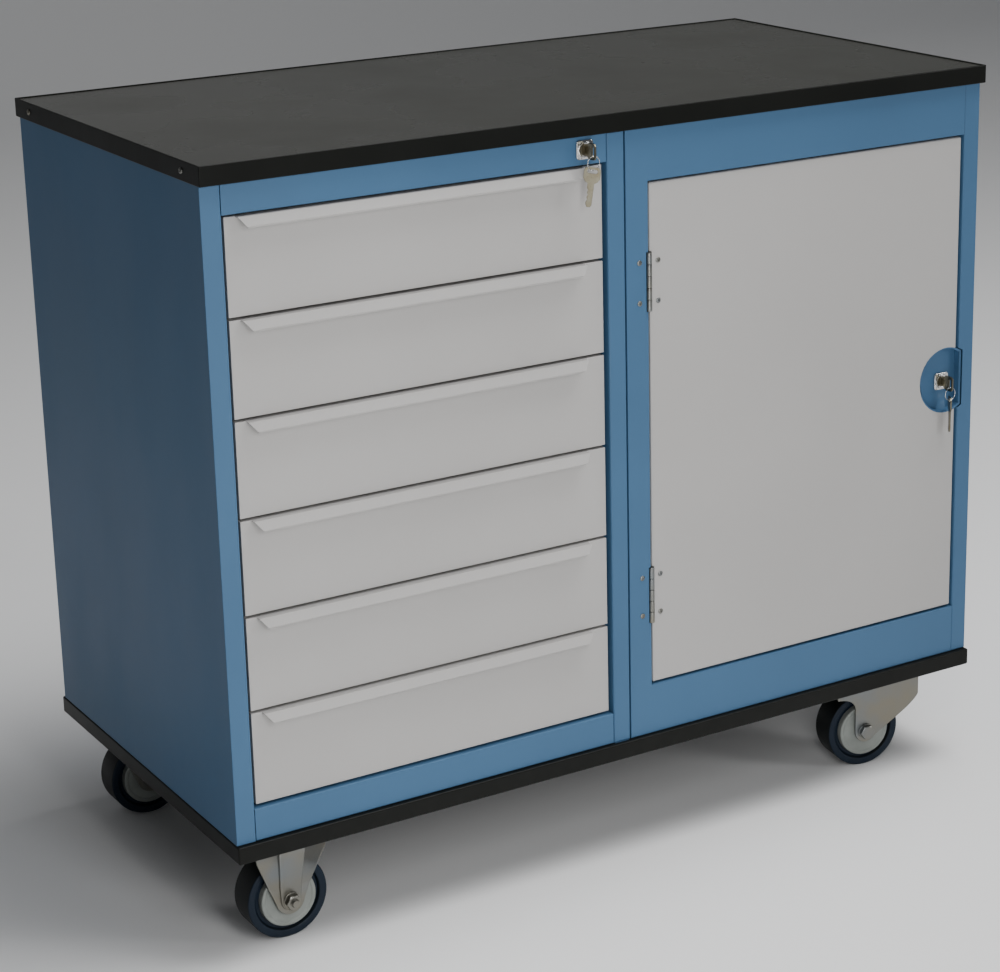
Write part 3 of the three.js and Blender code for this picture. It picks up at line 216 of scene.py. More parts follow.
# %% Plating bloom: zinc that has turned a little warm here and a little blue there
bloom_tree, bloom_in, bloom_out = new_group(
    "plating_bloom", {"Scale": 28.0, "Grain": 900.0}, ["Bloom", "Grain"]
)
bloom_tree.links.new(add_noise(bloom_tree, bloom_in.outputs["Scale"], 1.5), bloom_out.inputs["Bloom"])
bloom_tree.links.new(add_noise(bloom_tree, bloom_in.outputs["Grain"], 2.0), bloom_out.inputs["Grain"])

# %% Floor dust: strongest at the floor, gone 200 mm above it
dust_tree, dust_in, dust_out = new_group("floor_dust", {"Reach": 0.2, "Scale": 60.0}, ["Dust"])
height = dust_tree.nodes.new("ShaderNodeSeparateXYZ")
dust_coords = dust_tree.nodes.new("ShaderNodeTexCoord")
dust_tree.links.new(dust_coords.outputs["Object"], height.inputs["Vector"])
share = dust_tree.nodes.new("ShaderNodeMath")
share.operation = "DIVIDE"
dust_tree.links.new(height.outputs["Z"], share.inputs[0])
dust_tree.links.new(dust_in.outputs["Reach"], share.inputs[1])
low_down = remap(dust_tree, share.outputs["Value"], 1.0, 0.0, 0.0, 1.0)
speckle = remap(dust_tree, add_noise(dust_tree, dust_in.outputs["Scale"], 8.0), 0.2, 1.0)
dusty = dust_tree.nodes.new("ShaderNodeMath")
dusty.operation = "MULTIPLY"
dust_tree.links.new(low_down, dusty.inputs[0])
dust_tree.links.new(speckle, dusty.inputs[1])
dust_tree.links.new(dusty.outputs["Value"], dust_out.inputs["Dust"])
print("groups:", [group.name for group in bpy.data.node_groups])

# %% [markdown]
# ## The finishes
# Every finish is one Principled shader. A colour that never changes is typed into the shader itself, and what
# varies comes from the groups above: two close shades blended by the clouds, a roughness that drifts, and a
# bump of a few hundredths of a millimetre.

# %% Finish helpers
def new_finish(name):
    material = bpy.data.materials.new(name)
    material.use_nodes = True
    tree = material.node_tree
    return material, tree, tree.nodes["Principled BSDF"]


def use_group(tree, group, **values):
    node = tree.nodes.new("ShaderNodeGroup")
    node.node_tree = group
    for title, value in values.items():
        node.inputs[title].default_value = value
    return node.outputs


def shade(colour, factor):
    return tuple(min(channel * factor, 1.0) for channel in colour) + (1.0,)


def blend(tree, mask, first, second):
    """One colour where the mask is 0 and the other where it is 1. Each is a tuple or a socket."""
    mix = tree.nodes.new("ShaderNodeMix")
    mix.data_type = "RGBA"
    tree.links.new(mask, mix.inputs["Factor"])
    for socket, colour in ((mix.inputs[6], first), (mix.inputs[7], second)):
        if isinstance(colour, tuple):
            socket.default_value = colour
        else:
            tree.links.new(colour, socket)
    return mix.outputs[2]


def add_bump(tree, shader, heights, depth):
    bump = tree.nodes.new("ShaderNodeBump")
    bump.inputs["Strength"].default_value = 1.0
    bump.inputs["Distance"].default_value = depth
    tree.links.new(heights, bump.inputs["Height"])
    tree.links.new(bump.outputs["Normal"], shader.inputs["Normal"])


# %% Sprayed coats: blue cabinet, grey drawers and door, black base and edging
def sprayed_coat(name, colour, roughness, drift, grain, depth, spread=0.05, dust=0.0, sheen=0.25):
    material, tree, shader = new_finish(name)
    peel = use_group(tree, peel_tree, Grain=grain, Clouds=4.5)
    marks = use_group(tree, marks_tree, Scale=9.0)
    cloud = remap(tree, peel["Cloud"], 0.0, 1.0)
    tone = blend(tree, cloud, shade(colour, 1 - spread), shade(colour, 1 + spread))
    if dust:
        dirt = remap(tree, use_group(tree, dust_tree)["Dust"], 0.0, dust, 0.0, 1.0)
        tone = blend(tree, dirt, tone, (0.19, 0.18, 0.165, 1.0))
    tree.links.new(tone, shader.inputs["Base Color"])
    rough = remap(tree, marks["Mark"], roughness, roughness + drift, 0.0, 1.0)
    tree.links.new(rough, shader.inputs["Roughness"])
    shader.inputs["Specular IOR Level"].default_value = sheen
    add_bump(tree, shader, peel["Peel"], depth)
    return material


BLUE = (0.052, 0.128, 0.235)
GREY = (0.415, 0.405, 0.395)
BLACK = (0.0065, 0.007, 0.006)
finishes = {
    "blue_paint": sprayed_coat("blue_powder_coat", BLUE, 0.42, 0.07, 900.0, 0.00005),
    "grey_paint": sprayed_coat("grey_powder_coat", GREY, 0.45, 0.06, 1100.0, 0.00004, spread=0.025),
    "black_paint": sprayed_coat(
        "black_enamel", BLACK, 0.32, 0.10, 500.0, 0.00004, spread=0.15, dust=0.05, sheen=0.11
    ),
}

# %% Worktop: a dark sheet with a satin gloss and a faint drift in its shine
def worktop_sheet():
    material, tree, shader = new_finish("worktop_sheet")
    peel = use_group(tree, peel_tree, Grain=420.0, Clouds=2.2)
    marks = use_group(tree, marks_tree, Scale=5.0)
    cloud = remap(tree, peel["Cloud"], 0.0, 1.0)
    tone = blend(tree, cloud, (0.021, 0.0212, 0.0165, 1.0), (0.026, 0.026, 0.0205, 1.0))
    tree.links.new(tone, shader.inputs["Base Color"])
    tree.links.new(remap(tree, marks["Mark"], 0.27, 0.33, 0.0, 1.0), shader.inputs["Roughness"])
    add_bump(tree, shader, peel["Peel"], 0.00006)
    return material


finishes["worktop"] = worktop_sheet()

# %% Bare metals: zinc plate, chrome and the keys' nickel brass
def plated(name, warm, cool, roughness, drift, scale, depth):
    material, tree, shader = new_finish(name)
    shader.inputs["Metallic"].default_value = 1.0
    bloom = use_group(tree, bloom_tree, Scale=scale)
    tint = remap(tree, bloom["Bloom"], 0.0, 1.0)
    tree.links.new(blend(tree, tint, warm, cool), shader.inputs["Base Color"])
    tree.links.new(remap(tree, bloom["Grain"], roughness, roughness + drift), shader.inputs["Roughness"])
    add_bump(tree, shader, bloom["Grain"], depth)
    return material


# Each colour drifts between a warm and a cool tone, and each roughness between two values.
ZINC_WARM, ZINC_COOL = (0.215, 0.2, 0.162, 1.0), (0.185, 0.197, 0.2, 1.0)
CHROME_WARM, CHROME_COOL = (0.62, 0.61, 0.59, 1.0), (0.57, 0.59, 0.61, 1.0)
BRASS_WARM, BRASS_COOL = (0.125, 0.11, 0.074, 1.0), (0.15, 0.141, 0.108, 1.0)
finishes["zinc"] = plated("zinc_plate", ZINC_WARM, ZINC_COOL, 0.30, 0.14, 30.0, 0.00003)
finishes["chrome"] = plated("polished_chrome", CHROME_WARM, CHROME_COOL, 0.07, 0.05, 60.0, 0.00001)
finishes["key_metal"] = plated("nickel_brass", BRASS_WARM, BRASS_COOL, 0.26, 0.12, 150.0, 0.00003)

# %% Wheel sides: 0 on the tread and 1 on a wheel's sides, from the way the surface faces; it places a painted highlight on the sides and painted shade on the tread
painted_light_sides_tree, sides_in, sides_out = new_group("wheel_sides_painted_light", {"Start": 0.25, "End": 0.7}, ["Side"])
facing = painted_light_sides_tree.nodes.new("ShaderNodeSeparateXYZ")
painted_light_sides_tree.links.new(painted_light_sides_tree.nodes.new("ShaderNodeTexCoord").outputs["Normal"], facing.inputs["Vector"])
sideways = painted_light_sides_tree.nodes.new("ShaderNodeMath")
sideways.operation = "ABSOLUTE"
painted_light_sides_tree.links.new(facing.outputs["Y"], sideways.inputs[0])
painted_light_side_mask = painted_light_sides_tree.nodes.new("ShaderNodeMapRange")
painted_light_sides_tree.links.new(sideways.outputs["Value"], painted_light_side_mask.inputs["Value"])
painted_light_sides_tree.links.new(sides_in.outputs["Start"], painted_light_side_mask.inputs["From Min"])
painted_light_sides_tree.links.new(sides_in.outputs["End"], painted_light_side_mask.inputs["From Max"])
painted_light_sides_tree.links.new(painted_light_side_mask.outputs["Result"], sides_out.inputs["Side"])

# %% Wheels: elastic rubber on a light grey plastic rim, each with a painted highlight on its sides, blue on the rubber, and painted shade on its tread
def moulded(name, tread, sides, roughness, grain, depth, dust, sheen):
    material, tree, shader = new_finish(name)
    peel = use_group(tree, peel_tree, Grain=grain, Clouds=30.0)
    side = use_group(tree, painted_light_sides_tree)["Side"]
    cloud = remap(tree, peel["Cloud"], 0.0, 1.0)
    # Painted light: the side colour is a painted highlight and the tread colour is painted shade, chosen by
    # which way the surface faces
    dark = blend(tree, side, shade(tread, 0.85), shade(sides, 0.85))
    light = blend(tree, side, shade(tread, 1.15), shade(sides, 1.15))
    dirt = remap(tree, use_group(tree, dust_tree, Reach=0.06, Scale=140.0)["Dust"], 0.0, dust, 0.0, 1.0)
    tone = blend(tree, cloud, dark, light)
    tree.links.new(blend(tree, dirt, tone, (0.16, 0.155, 0.14, 1.0)), shader.inputs["Base Color"])
    tree.links.new(remap(tree, peel["Cloud"], roughness, roughness + 0.1), shader.inputs["Roughness"])
    shader.inputs["Specular IOR Level"].default_value = sheen
    add_bump(tree, shader, peel["Peel"], depth)
    return material


# The tread colours are painted shade and the side colours are painted highlights of the same rubber and the
# same plastic
RUBBER_TREAD_PAINTED_SHADE, RUBBER_SIDE_PAINTED_HIGHLIGHT = (0.0045, 0.0062, 0.0066), (0.004, 0.0105, 0.0215)
RIM_TREAD_PAINTED_SHADE, RIM_SIDE_PAINTED_HIGHLIGHT = (0.19, 0.2, 0.186), (0.215, 0.232, 0.215)
finishes["tyre"] = moulded("tyre_rubber", RUBBER_TREAD_PAINTED_SHADE, RUBBER_SIDE_PAINTED_HIGHLIGHT, 0.42, 1500.0, 0.00006, 0.03, 0.2)
finishes["wheel_rim"] = moulded("rim_plastic", RIM_TREAD_PAINTED_SHADE, RIM_SIDE_PAINTED_HIGHLIGHT, 0.38, 1200.0, 0.00003, 0.08, 0.4)

floor_finish, floor_tree, floor_shader = new_finish("studio_floor")
floor_shader.inputs["Base Color"].default_value = (0.88, 0.88, 0.88, 1.0)
floor_shader.inputs["Roughness"].default_value = 0.9
floor.data.materials.append(floor_finish)
print(len(finishes), "finishes")

# %% [markdown]
# ## Folded steel
# A press brake leaves a round bend, never a knife edge. Each folded part is copied from the frame, its
# triangles are merged back into flat faces, and a Bevel modifier rounds it. Edge weights tell the bevel which
# edges are bends and which are only the sheet's thin cut edge: a bend has a wide face on both sides.

# %% Rounded copies of the frame's sheet parts
BEND_RADIUS = 2.0 * MM
CUT_EDGE_RADIUS = 0.35 * MM
WIDE_FACE = 4.0 * MM
SHARP = math.radians(25)
FLAT_ANGLE = math.radians(0.5)
BEND_SHARES = (1.0, 0.5, 0.25)
FRONT_BEND = 0.5 * MM  # the drawer fronts' folded rim is too narrow for a wider one
AREA_LOSS, VOLUME_LOSS = 0.05, 0.06
SAME_PLANE = 0.99999  # the cosine between two normals above which their faces lie flat together
STRAIGHT_ON = 0.98  # the cosine above which an edge only carries on from the one before it
NEIGHBOUR_SHARE = 0.45  # of a neighbouring edge or face, at most, that one rounding may take


def add_piece(name, mesh, slot, body, stands_for=()):
    """Puts a finished mesh in the scene, on its body, in its slot's finish."""
    piece = bpy.data.objects.new(name, mesh)
    bpy.context.collection.objects.link(piece)
    mesh.materials.clear()
    mesh.materials.append(finishes[slot])
    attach(piece, body)
    if stands_for:
        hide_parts(*stands_for)
    return piece


def face_width(face, edge):
    return face.calc_area() / edge.calc_length()


def room_beside(edge):
    """How far an edge may be rounded before it would meet the rounding of its neighbours."""
    run = (edge.verts[1].co - edge.verts[0].co).normalized()
    room = [face_width(face, edge) for face in edge.link_faces]
    for vert in edge.verts:
        for other in vert.link_edges:
            away = other.other_vert(vert).co - vert.co
            if other is not edge and abs(away.normalized().dot(run)) < STRAIGHT_ON:
                room.append(away.length)
    return NEIGHBOUR_SHARE * min(room)


def flat_region(start):
    """The faces around a face that lie in one plane with it, even where a crossed face looks backwards."""
    region, waiting = {start}, [start]
    while waiting:
        for edge in waiting.pop().edges:
            for face in edge.link_faces:
                if face not in region and abs(face.normal.dot(start.normal)) > SAME_PLANE:
                    region.add(face)
                    waiting.append(face)
    return region


def refill_flats(mesh):
    """Cuts the flat faces that would fill wrongly into triangles again, and keeps every corner's shading."""
    kept = mesh.attributes.new("kept_normal", "FLOAT_VECTOR", "CORNER")
    kept.data.foreach_set("vector", [value for corner in mesh.corner_normals for value in corner.vector])
    mesh.calc_loop_triangles()
    filled = [0.0] * len(mesh.polygons)
    for triangle in mesh.loop_triangles:
        filled[triangle.polygon_index] += triangle.area
    bm = bmesh.new()
    bm.from_mesh(mesh)
    crossed = [face for face in bm.faces if filled[face.index] > face.calc_area() * 1.001]
    for face in crossed:
        if not face.is_valid:
            continue
        region = flat_region(face)
        normal = face.normal.copy()
        outline = [edge for edge in {edge for member in region for edge in member.edges}
                   if len(region.intersection(edge.link_faces)) == 1]
        outline.sort(key=lambda edge: edge.index)
        bmesh.ops.delete(bm, geom=list(region), context="FACES")
        bmesh.ops.triangle_fill(bm, edges=outline, use_beauty=True, normal=normal)
    bmesh.ops.recalc_face_normals(bm, faces=bm.faces)
    bm.to_mesh(mesh)
    bm.free()
    mesh.polygons.foreach_set("use_smooth", [True] * len(mesh.polygons))
    normals = [Vector(corner.vector) for corner in mesh.attributes["kept_normal"].data]
    for polygon in mesh.polygons:
        for corner in polygon.loop_indices:
            if normals[corner].length < 0.5:
                normals[corner] = polygon.normal.copy()
    mesh.attributes.remove(mesh.attributes["kept_normal"])
    mesh.normals_split_custom_set([tuple(normal) for normal in normals])
    return len(crossed)


def merge_flats(bm):
    """Joins triangles into flat faces, longest seam first, so that a ring keeps only its shortest seams."""
    seams = [edge for edge in bm.edges if edge.calc_face_angle(math.pi) < FLAT_ANGLE]
    seams.sort(key=lambda edge: (-round(edge.calc_length(), 7), edge.index))
    for seam in seams:
        if seam.is_valid and len(seam.link_faces) == 2:
            first, second = seam.link_faces
            shared = set(first.edges) & set(second.edges)
            if len(shared) == 1 and len(set(first.verts) & set(second.verts)) == 2:
                bmesh.utils.face_join([first, second])
    straight = [
        vert for vert in bm.verts
        if len(vert.link_edges) == 2 and vert.calc_edge_angle(0.0) < FLAT_ANGLE
    ]
    bmesh.ops.dissolve_verts(bm, verts=straight)


def is_sound(mesh, source):
    """A rounded copy must keep its part's area and volume and stay closed."""
    sizes = []
    for data in (mesh, source):
        bm = bmesh.new()
        bm.from_mesh(data)
        bmesh.ops.remove_doubles(bm, verts=bm.verts, dist=1e-7)
        is_closed = all(len(edge.link_faces) == 2 and edge.is_contiguous for edge in bm.edges)
        data.calc_loop_triangles()
        sizes.append((is_closed, sum(face.area for face in data.loop_triangles), bm.calc_volume()))
        bm.free()
    (closed, area, volume), (_, full_area, full_volume) = sizes
    return closed and abs(area / full_area - 1) < AREA_LOSS and abs(volume / full_volume - 1) < VOLUME_LOSS


def rounded_copy(node, bend=BEND_RADIUS, cut=CUT_EDGE_RADIUS, segments=3):
    """A finished copy of a part. The bend is made smaller until the copy is sound."""
    for share in BEND_SHARES:
        mesh = rounded_mesh(node, bend * share, min(cut, bend * share), segments)
        if is_sound(mesh, nodes[node].data):
            return add_piece(node + "_finished", mesh, slot_of[node], body_of[node], [node])
    print(node, "keeps its square edges")
    return None


def rounded_mesh(node, bend, cut, segments):
    bm = bmesh.new()
    bm.from_mesh(nodes[node].data)
    bmesh.ops.remove_doubles(bm, verts=bm.verts, dist=0.01 * MM)
    merge_flats(bm)
    weight = bm.edges.layers.float.new("bevel_weight_edge")
    for edge in bm.edges:
        if len(edge.link_faces) != 2:
            continue
        angle = edge.calc_face_angle_signed()
        if angle < SHARP:
            continue
        wide = min(face_width(face, edge) for face in edge.link_faces) > WIDE_FACE
        edge[weight] = min(bend if wide else cut, room_beside(edge)) / bend
    mesh = bpy.data.meshes.new(node + "_finished")
    bm.to_mesh(mesh)
    bm.free()
    mesh.polygons.foreach_set("use_smooth", [True] * len(mesh.polygons))
    mesh.set_sharp_from_angle(angle=SHARP)
    blank = bpy.data.objects.new(node + "_blank", mesh)
    bpy.context.collection.objects.link(blank)
    bevel = blank.modifiers.new("rounding", "BEVEL")
    bevel.limit_method = "WEIGHT"
    bevel.width = bend
    bevel.segments = segments
    bevel.use_clamp_overlap = False
    bevel.harden_normals = True
    bevel.miter_outer = "MITER_ARC"
    rounded = bpy.data.meshes.new_from_object(blank.evaluated_get(bpy.context.evaluated_depsgraph_get()))
    bpy.data.objects.remove(blank)
    refill_flats(rounded)
    return rounded


folded = [node for node, slot in slot_of.items() if slot in ("blue_paint", "grey_paint", "black_paint")]
for node in folded:
    rounded_copy(node, bend=FRONT_BEND if node.startswith("drawer_front") else BEND_RADIUS)
print(len(folded), "folded parts")

# %% [markdown]
# ## Turned and cut shapes
# Wheels, washers and lock plates come from two tools. `lathe` turns an outline round an axis, as a lathe
# would, and `plate` stands an outline up to a thickness and rounds its front edge. `soften` rounds the
# corners of an outline first, so that every turned edge catches a thin line of light.

# %% Shape tools
ROUND_STEPS = 96
TURNED_SHARP = math.radians(28)  # edges above this angle stay crisp on turned shapes


SOFTEN_SHARE = 0.45  # of an outline's side, at most, that one corner may take


def soften(points, steps=4):
    """Rounds the corners of a closed outline. A point is (u, v) when sharp, or (u, v, radius)."""
    result = []
    for index, point in enumerate(points):
        corner = Vector(point[:2])
        if len(point) < 3:
            result.append(tuple(corner))
            continue
        before = Vector(points[index - 1][:2]) - corner
        after = Vector(points[(index + 1) % len(points)][:2]) - corner
        reach = min(point[2], before.length * SOFTEN_SHARE, after.length * SOFTEN_SHARE)
        start, end = corner + before.normalized() * reach, corner + after.normalized() * reach
        for step in range(steps + 1):
            t = step / steps
            result.append(tuple(start * (1 - t) ** 2 + corner * 2 * t * (1 - t) + end * t ** 2))
    return result


def lathe(outline, steps=ROUND_STEPS):
    """A closed outline of (radius, y) in millimetres, turned round the Y axis."""
    bm = bmesh.new()
    rings = []
    for radius, y in outline:
        angles = [2 * math.pi * step / steps for step in range(steps)]
        rings.append([bm.verts.new((radius * math.cos(a), y, radius * math.sin(a))) for a in angles])
    for index, ring in enumerate(rings):
        after = rings[(index + 1) % len(rings)]
        for k in range(steps):
            bm.faces.new((ring[k], ring[(k + 1) % steps], after[(k + 1) % steps], after[k]))
    return bm


def plate(outline, thickness, edge, segments=3):
    """An outline of (x, z) in millimetres, from y = 0 to -thickness, with its front edge rounded."""
    bm = bmesh.new()
    back = [bm.verts.new((x, 0.0, z)) for x, z in outline]
    front = [bm.verts.new((x, -thickness, z)) for x, z in outline]
    bm.faces.new(back)
    bm.faces.new(front)
    count = len(outline)
    for k in range(count):
        bm.faces.new((back[k], back[(k + 1) % count], front[(k + 1) % count], front[k]))
    bmesh.ops.recalc_face_normals(bm, faces=bm.faces)
    rim = [edge_ for edge_ in bm.edges if all(vert in front for vert in edge_.verts)]
    bmesh.ops.bevel(bm, geom=rim, offset=edge, segments=segments, profile=0.5, affect="EDGES")
    return bm


HEX_STEPS = 48
HEX_CROWN = 0.96  # the flat circle on a head's top, as a share of its half width


def hex_head(flat, height):
    """A hexagon of half width `flat` from y = 0 to -height, with its outer corners turned down."""
    bm = bmesh.new()
    crown = flat * HEX_CROWN
    low, shoulder, top = [], [], []
    for step in range(HEX_STEPS):
        angle = 2 * math.pi * step / HEX_STEPS
        radius = flat / math.cos(angle % (math.pi / 3) - math.pi / 6)
        drop = (radius - crown) * math.tan(math.radians(30))
        c, s = math.cos(angle), math.sin(angle)
        low.append(bm.verts.new((radius * c, 0.0, radius * s)))
        shoulder.append(bm.verts.new((radius * c, drop - height, radius * s)))
        top.append(bm.verts.new((crown * c, -height, crown * s)))
    for first, second in ((low, shoulder), (shoulder, top)):
        for k in range(HEX_STEPS):
            after = (k + 1) % HEX_STEPS
            bm.faces.new((first[k], first[after], second[after], second[k]))
    bm.faces.new(low)
    bm.faces.new(top)
    return bm


def assemble(name, *parts):
    """One mesh in metres, from (shape, place) pairs: shapes in millimetres, places in metres."""
    whole = bmesh.new()
    for shape, place in parts:
        bmesh.ops.remove_doubles(shape, verts=shape.verts, dist=1e-4)
        bmesh.ops.recalc_face_normals(shape, faces=shape.faces)
        shape.transform(place @ Matrix.Scale(MM, 4))
        loose = bpy.data.meshes.new("loose")
        shape.to_mesh(loose)
        shape.free()
        whole.from_mesh(loose)
        bpy.data.meshes.remove(loose)
    mesh = bpy.data.meshes.new(name)
    whole.to_mesh(mesh)
    whole.free()
    mesh.polygons.foreach_set("use_smooth", [True] * len(mesh.polygons))
    mesh.set_sharp_from_angle(angle=TURNED_SHARP)
    return mesh


def middle(node):
    low, high = (Vector(corner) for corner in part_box(node))
    return (low + high) / 2


def along(place, distance):
    """A place moved by that many millimetres along its own Y axis."""
    return place @ Matrix.Translation((0.0, distance * MM, 0.0))


FACE_ABOUT = Matrix.Rotation(math.pi, 4, "Z")
print("tools ready")

# %% [markdown]
# ## The wheels
# Each tyre is blue-black rubber with a rounded shoulder and a groove beside the rim. The rim is a plain
# moulding: a raised lip, a shallow dish and a hub that fills the fork.

# %% Tyres and rims
SWIVEL_TURN = math.radians(-10)  # how far the right-hand casters are turned
CASTERS = {
    "front_left_caster": 0.0,
    "rear_left_caster": 0.0,
    "front_right_caster": SWIVEL_TURN,
    "rear_right_caster": SWIVEL_TURN,
}
wheel_place = {
    name: Matrix.Translation(middle(name + "_rim")) @ Matrix.Rotation(turn, 4, "Z")
    for name, turn in CASTERS.items()
}


def both_sides(half_outline):
    """A wheel's outline from its half on the -Y side, listed from the axle outward."""
    return half_outline + [(point[0], -point[1], *point[2:]) for point in reversed(half_outline)]


TYRE = both_sides([
    (34.9, -14.0), (39.4, -14.0, 1.2), (41.0, -18.6, 1.4), (45.0, -19.0, 2.0), (50.0, -19.0, 4.2),
])
RIM = both_sides([
    (6.5, -23.0, 0.3), (11.8, -23.0, 0.8), (12.8, -21.4, 0.8), (15.5, -20.9, 1.5), (28.8, -20.9, 1.5),
    (30.4, -22.0, 1.0), (34.3, -22.0, 1.6), (34.6, -12.0, 1.0),
])
for name, place in wheel_place.items():
    wheel_body = body_of[name + "_tyre"]
    tyre = assemble(name + "_tyre_turned", (lathe(soften(TYRE, 5), 128), place))
    add_piece(name + "_tyre_turned", tyre, "tyre", wheel_body, [name + "_tyre"])
    rim = assemble(name + "_rim_turned", (lathe(soften(RIM)), place))
    add_piece(name + "_rim_turned", rim, "wheel_rim", wheel_body, [name + "_rim"])
print("four wheels")

# %% [markdown]
# ## Forks and axles
# The forks are pressed from zinc-plated sheet. On the fixed forks a pressed band stiffens each leg and gives
# the nut a flat seat, and it could be sculpted into the leg, but a separate raised plate keeps its edges
# crisp. The swivel forks only get their edges rounded. The axle is a bolt with a washer under its head and
# under its nut, and a short end of thread.

# %% Pressed forks
LEG_FACE = 26.6  # outer face of a leg, from the wheel's middle
BAND_PROUD = 2.6
BAND_SUNK = 0.5  # of a band's thickness, inside the leg
BAND_ROUND = 1.6
BAND_FOOT_STEPS = 16
SPLAY_START, SPLAY_RISE, SPLAY = 16.0, 59.0, 10.0  # where a fixed leg leans out, over what height, how far


def band_outline(top, top_half, foot_half):
    arc = [math.pi + math.pi * step / BAND_FOOT_STEPS for step in range(BAND_FOOT_STEPS + 1)]
    foot = [(foot_half * math.cos(angle), foot_half * math.sin(angle)) for angle in arc]
    return [(-top_half, top), *foot, (top_half, top)]


def pressed_band(outline):
    """A band for one leg: it is cut across where the leg starts to lean, then leans with it."""
    band = plate(outline, BAND_PROUD + BAND_SUNK, BAND_ROUND, 4)
    everything = band.verts[:] + band.edges[:] + band.faces[:]
    bmesh.ops.bisect_plane(band, geom=everything, plane_co=(0, 0, SPLAY_START), plane_no=(0, 0, 1))
    for vert in band.verts:
        vert.co.y -= LEG_FACE - BAND_SUNK
        if vert.co.z > SPLAY_START:
            vert.co.y -= SPLAY * (vert.co.z - SPLAY_START) / SPLAY_RISE
    return band


BAND_OUTLINE = band_outline(72.0, 17.0, 12.5)

for name, place in wheel_place.items():
    fixed = "left" in name
    fork_body = body_of[name + "_fork"]
    rounded_copy(name + "_fork", bend=1.2 * MM, cut=0.5 * MM)
    if fixed:
        bands = [(pressed_band(BAND_OUTLINE), side) for side in (place, place @ FACE_ABOUT)]
        add_piece(name + "_fork_bands", assemble(name + "_fork_bands", *bands), "zinc", fork_body)
    else:
        rounded_copy(name + "_top_plate", bend=1.0 * MM, cut=0.5 * MM)
print("four forks")

# %% Axles
WASHER_THICK = 1.6
WASHER = [(5.2, 0.0), (10.6, 0.0, 0.3), (10.6, -WASHER_THICK, 0.5), (5.2, -WASHER_THICK)]
SHANK = 5.9
NUT_FLAT, NUT_HEIGHT, HEAD_HEIGHT, THREAD_END = 8.5, 6.8, 5.6, 3.4
THREAD_RADIUS, THREAD_DEPTH, THREAD_PITCH = 5.0, 0.45, 1.25


def thread_end(length):
    """The end of a bolt past its nut, from y = 0 to -length, with its last turns of thread."""
    outline = [(0.0, 1.0), (THREAD_RADIUS - THREAD_DEPTH, 1.0)]
    y = 0.0
    while y > 1.0 - length:
        outline.append((THREAD_RADIUS, y - THREAD_PITCH / 4))
        outline.append((THREAD_RADIUS - THREAD_DEPTH, y - THREAD_PITCH * 3 / 4))
        y -= THREAD_PITCH
    outline += [(THREAD_RADIUS - 0.8, -length), (0.0, -length)]
    return lathe(outline, 48)


for name, place in wheel_place.items():
    fixed = "left" in name
    seat = LEG_FACE + (BAND_PROUD if fixed else 0.0)
    core = seat + 1.0  # a little past the washers' backs
    nut_side = place if fixed else place @ FACE_ABOUT
    head_side = nut_side @ FACE_ABOUT
    axle = assemble(
        name + "_axle",
        (lathe([(0.0, -core), (SHANK, -core), (SHANK, core), (0.0, core)], 48), place),
        (lathe(soften(WASHER), 64), along(nut_side, -seat)),
        (hex_head(NUT_FLAT, NUT_HEIGHT), along(nut_side, -seat - WASHER_THICK)),
        (thread_end(THREAD_END), along(nut_side, -seat - WASHER_THICK - NUT_HEIGHT)),
        (lathe(soften(WASHER), 64), along(head_side, -seat)),
        (hex_head(NUT_FLAT, HEAD_HEIGHT), along(head_side, -seat - WASHER_THICK)),
    )
    add_piece(name + "_axle", axle, "zinc", body_of[name + "_axle_bolt"], [name + "_axle_bolt"])
print("four axles")

# %% [markdown]
# ## Locks, keys and rings
# A lock is a small chromed plate with a turned ring around the brass plug. Each lock carries a key, a split
# ring and a spare key that hangs from the ring.

# %% Locks and keys
PLATE_HALF, PLATE_ROUND, PLATE_THICK = 11.0, 4.0, 2.5


def lock_body(node):
    low, high = (Vector(corner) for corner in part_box(node))
    front = low.y + 1.0 * MM  # the plate's face, behind the ring's
    place = Matrix.Translation(((low.x + high.x) / 2, front, (low.z + high.z) / 2))
    depth = (high.y - front) / MM
    h = PLATE_HALF
    corners = ((-h, -h), (h, -h), (h, h), (-h, h))
    square = soften([(x, z, PLATE_ROUND) for x, z in corners], 8)
    face = plate(square, PLATE_THICK, 0.8, 4)
    ring = [(6.9, PLATE_THICK, 0.0), (6.9, -1.0, 0.3), (9.4, -1.0, 0.7), (9.4, 1.0)]
    barrel = [(6.9, 1.2), (9.0, 1.2), (9.0, depth), (6.9, depth)]
    mesh = assemble(
        node + "_finished",
        (face, along(place, PLATE_THICK)),
        (lathe(soften(ring)), place),
        (lathe(barrel), place),
    )
    return add_piece(node + "_finished", mesh, "chrome", body_of[node], [node])


lock_body("drawer_lock_body")
lock_body("door_lock_body")
for node in ("drawer_key", "door_key", "drawer_spare_key", "door_spare_key"):
    rounded_copy(node, bend=0.45 * MM, cut=0.45 * MM, segments=2)
for node in ("drawer_lock_plug", "door_lock_plug"):
    rounded_copy(node, bend=0.35 * MM, cut=0.35 * MM, segments=2)

# %% Split rings: two turns of springy wire
RING_RADIUS, RING_WIRE, RING_TURNS, RING_STEPS = 8.0, 0.42, 1.96, 120


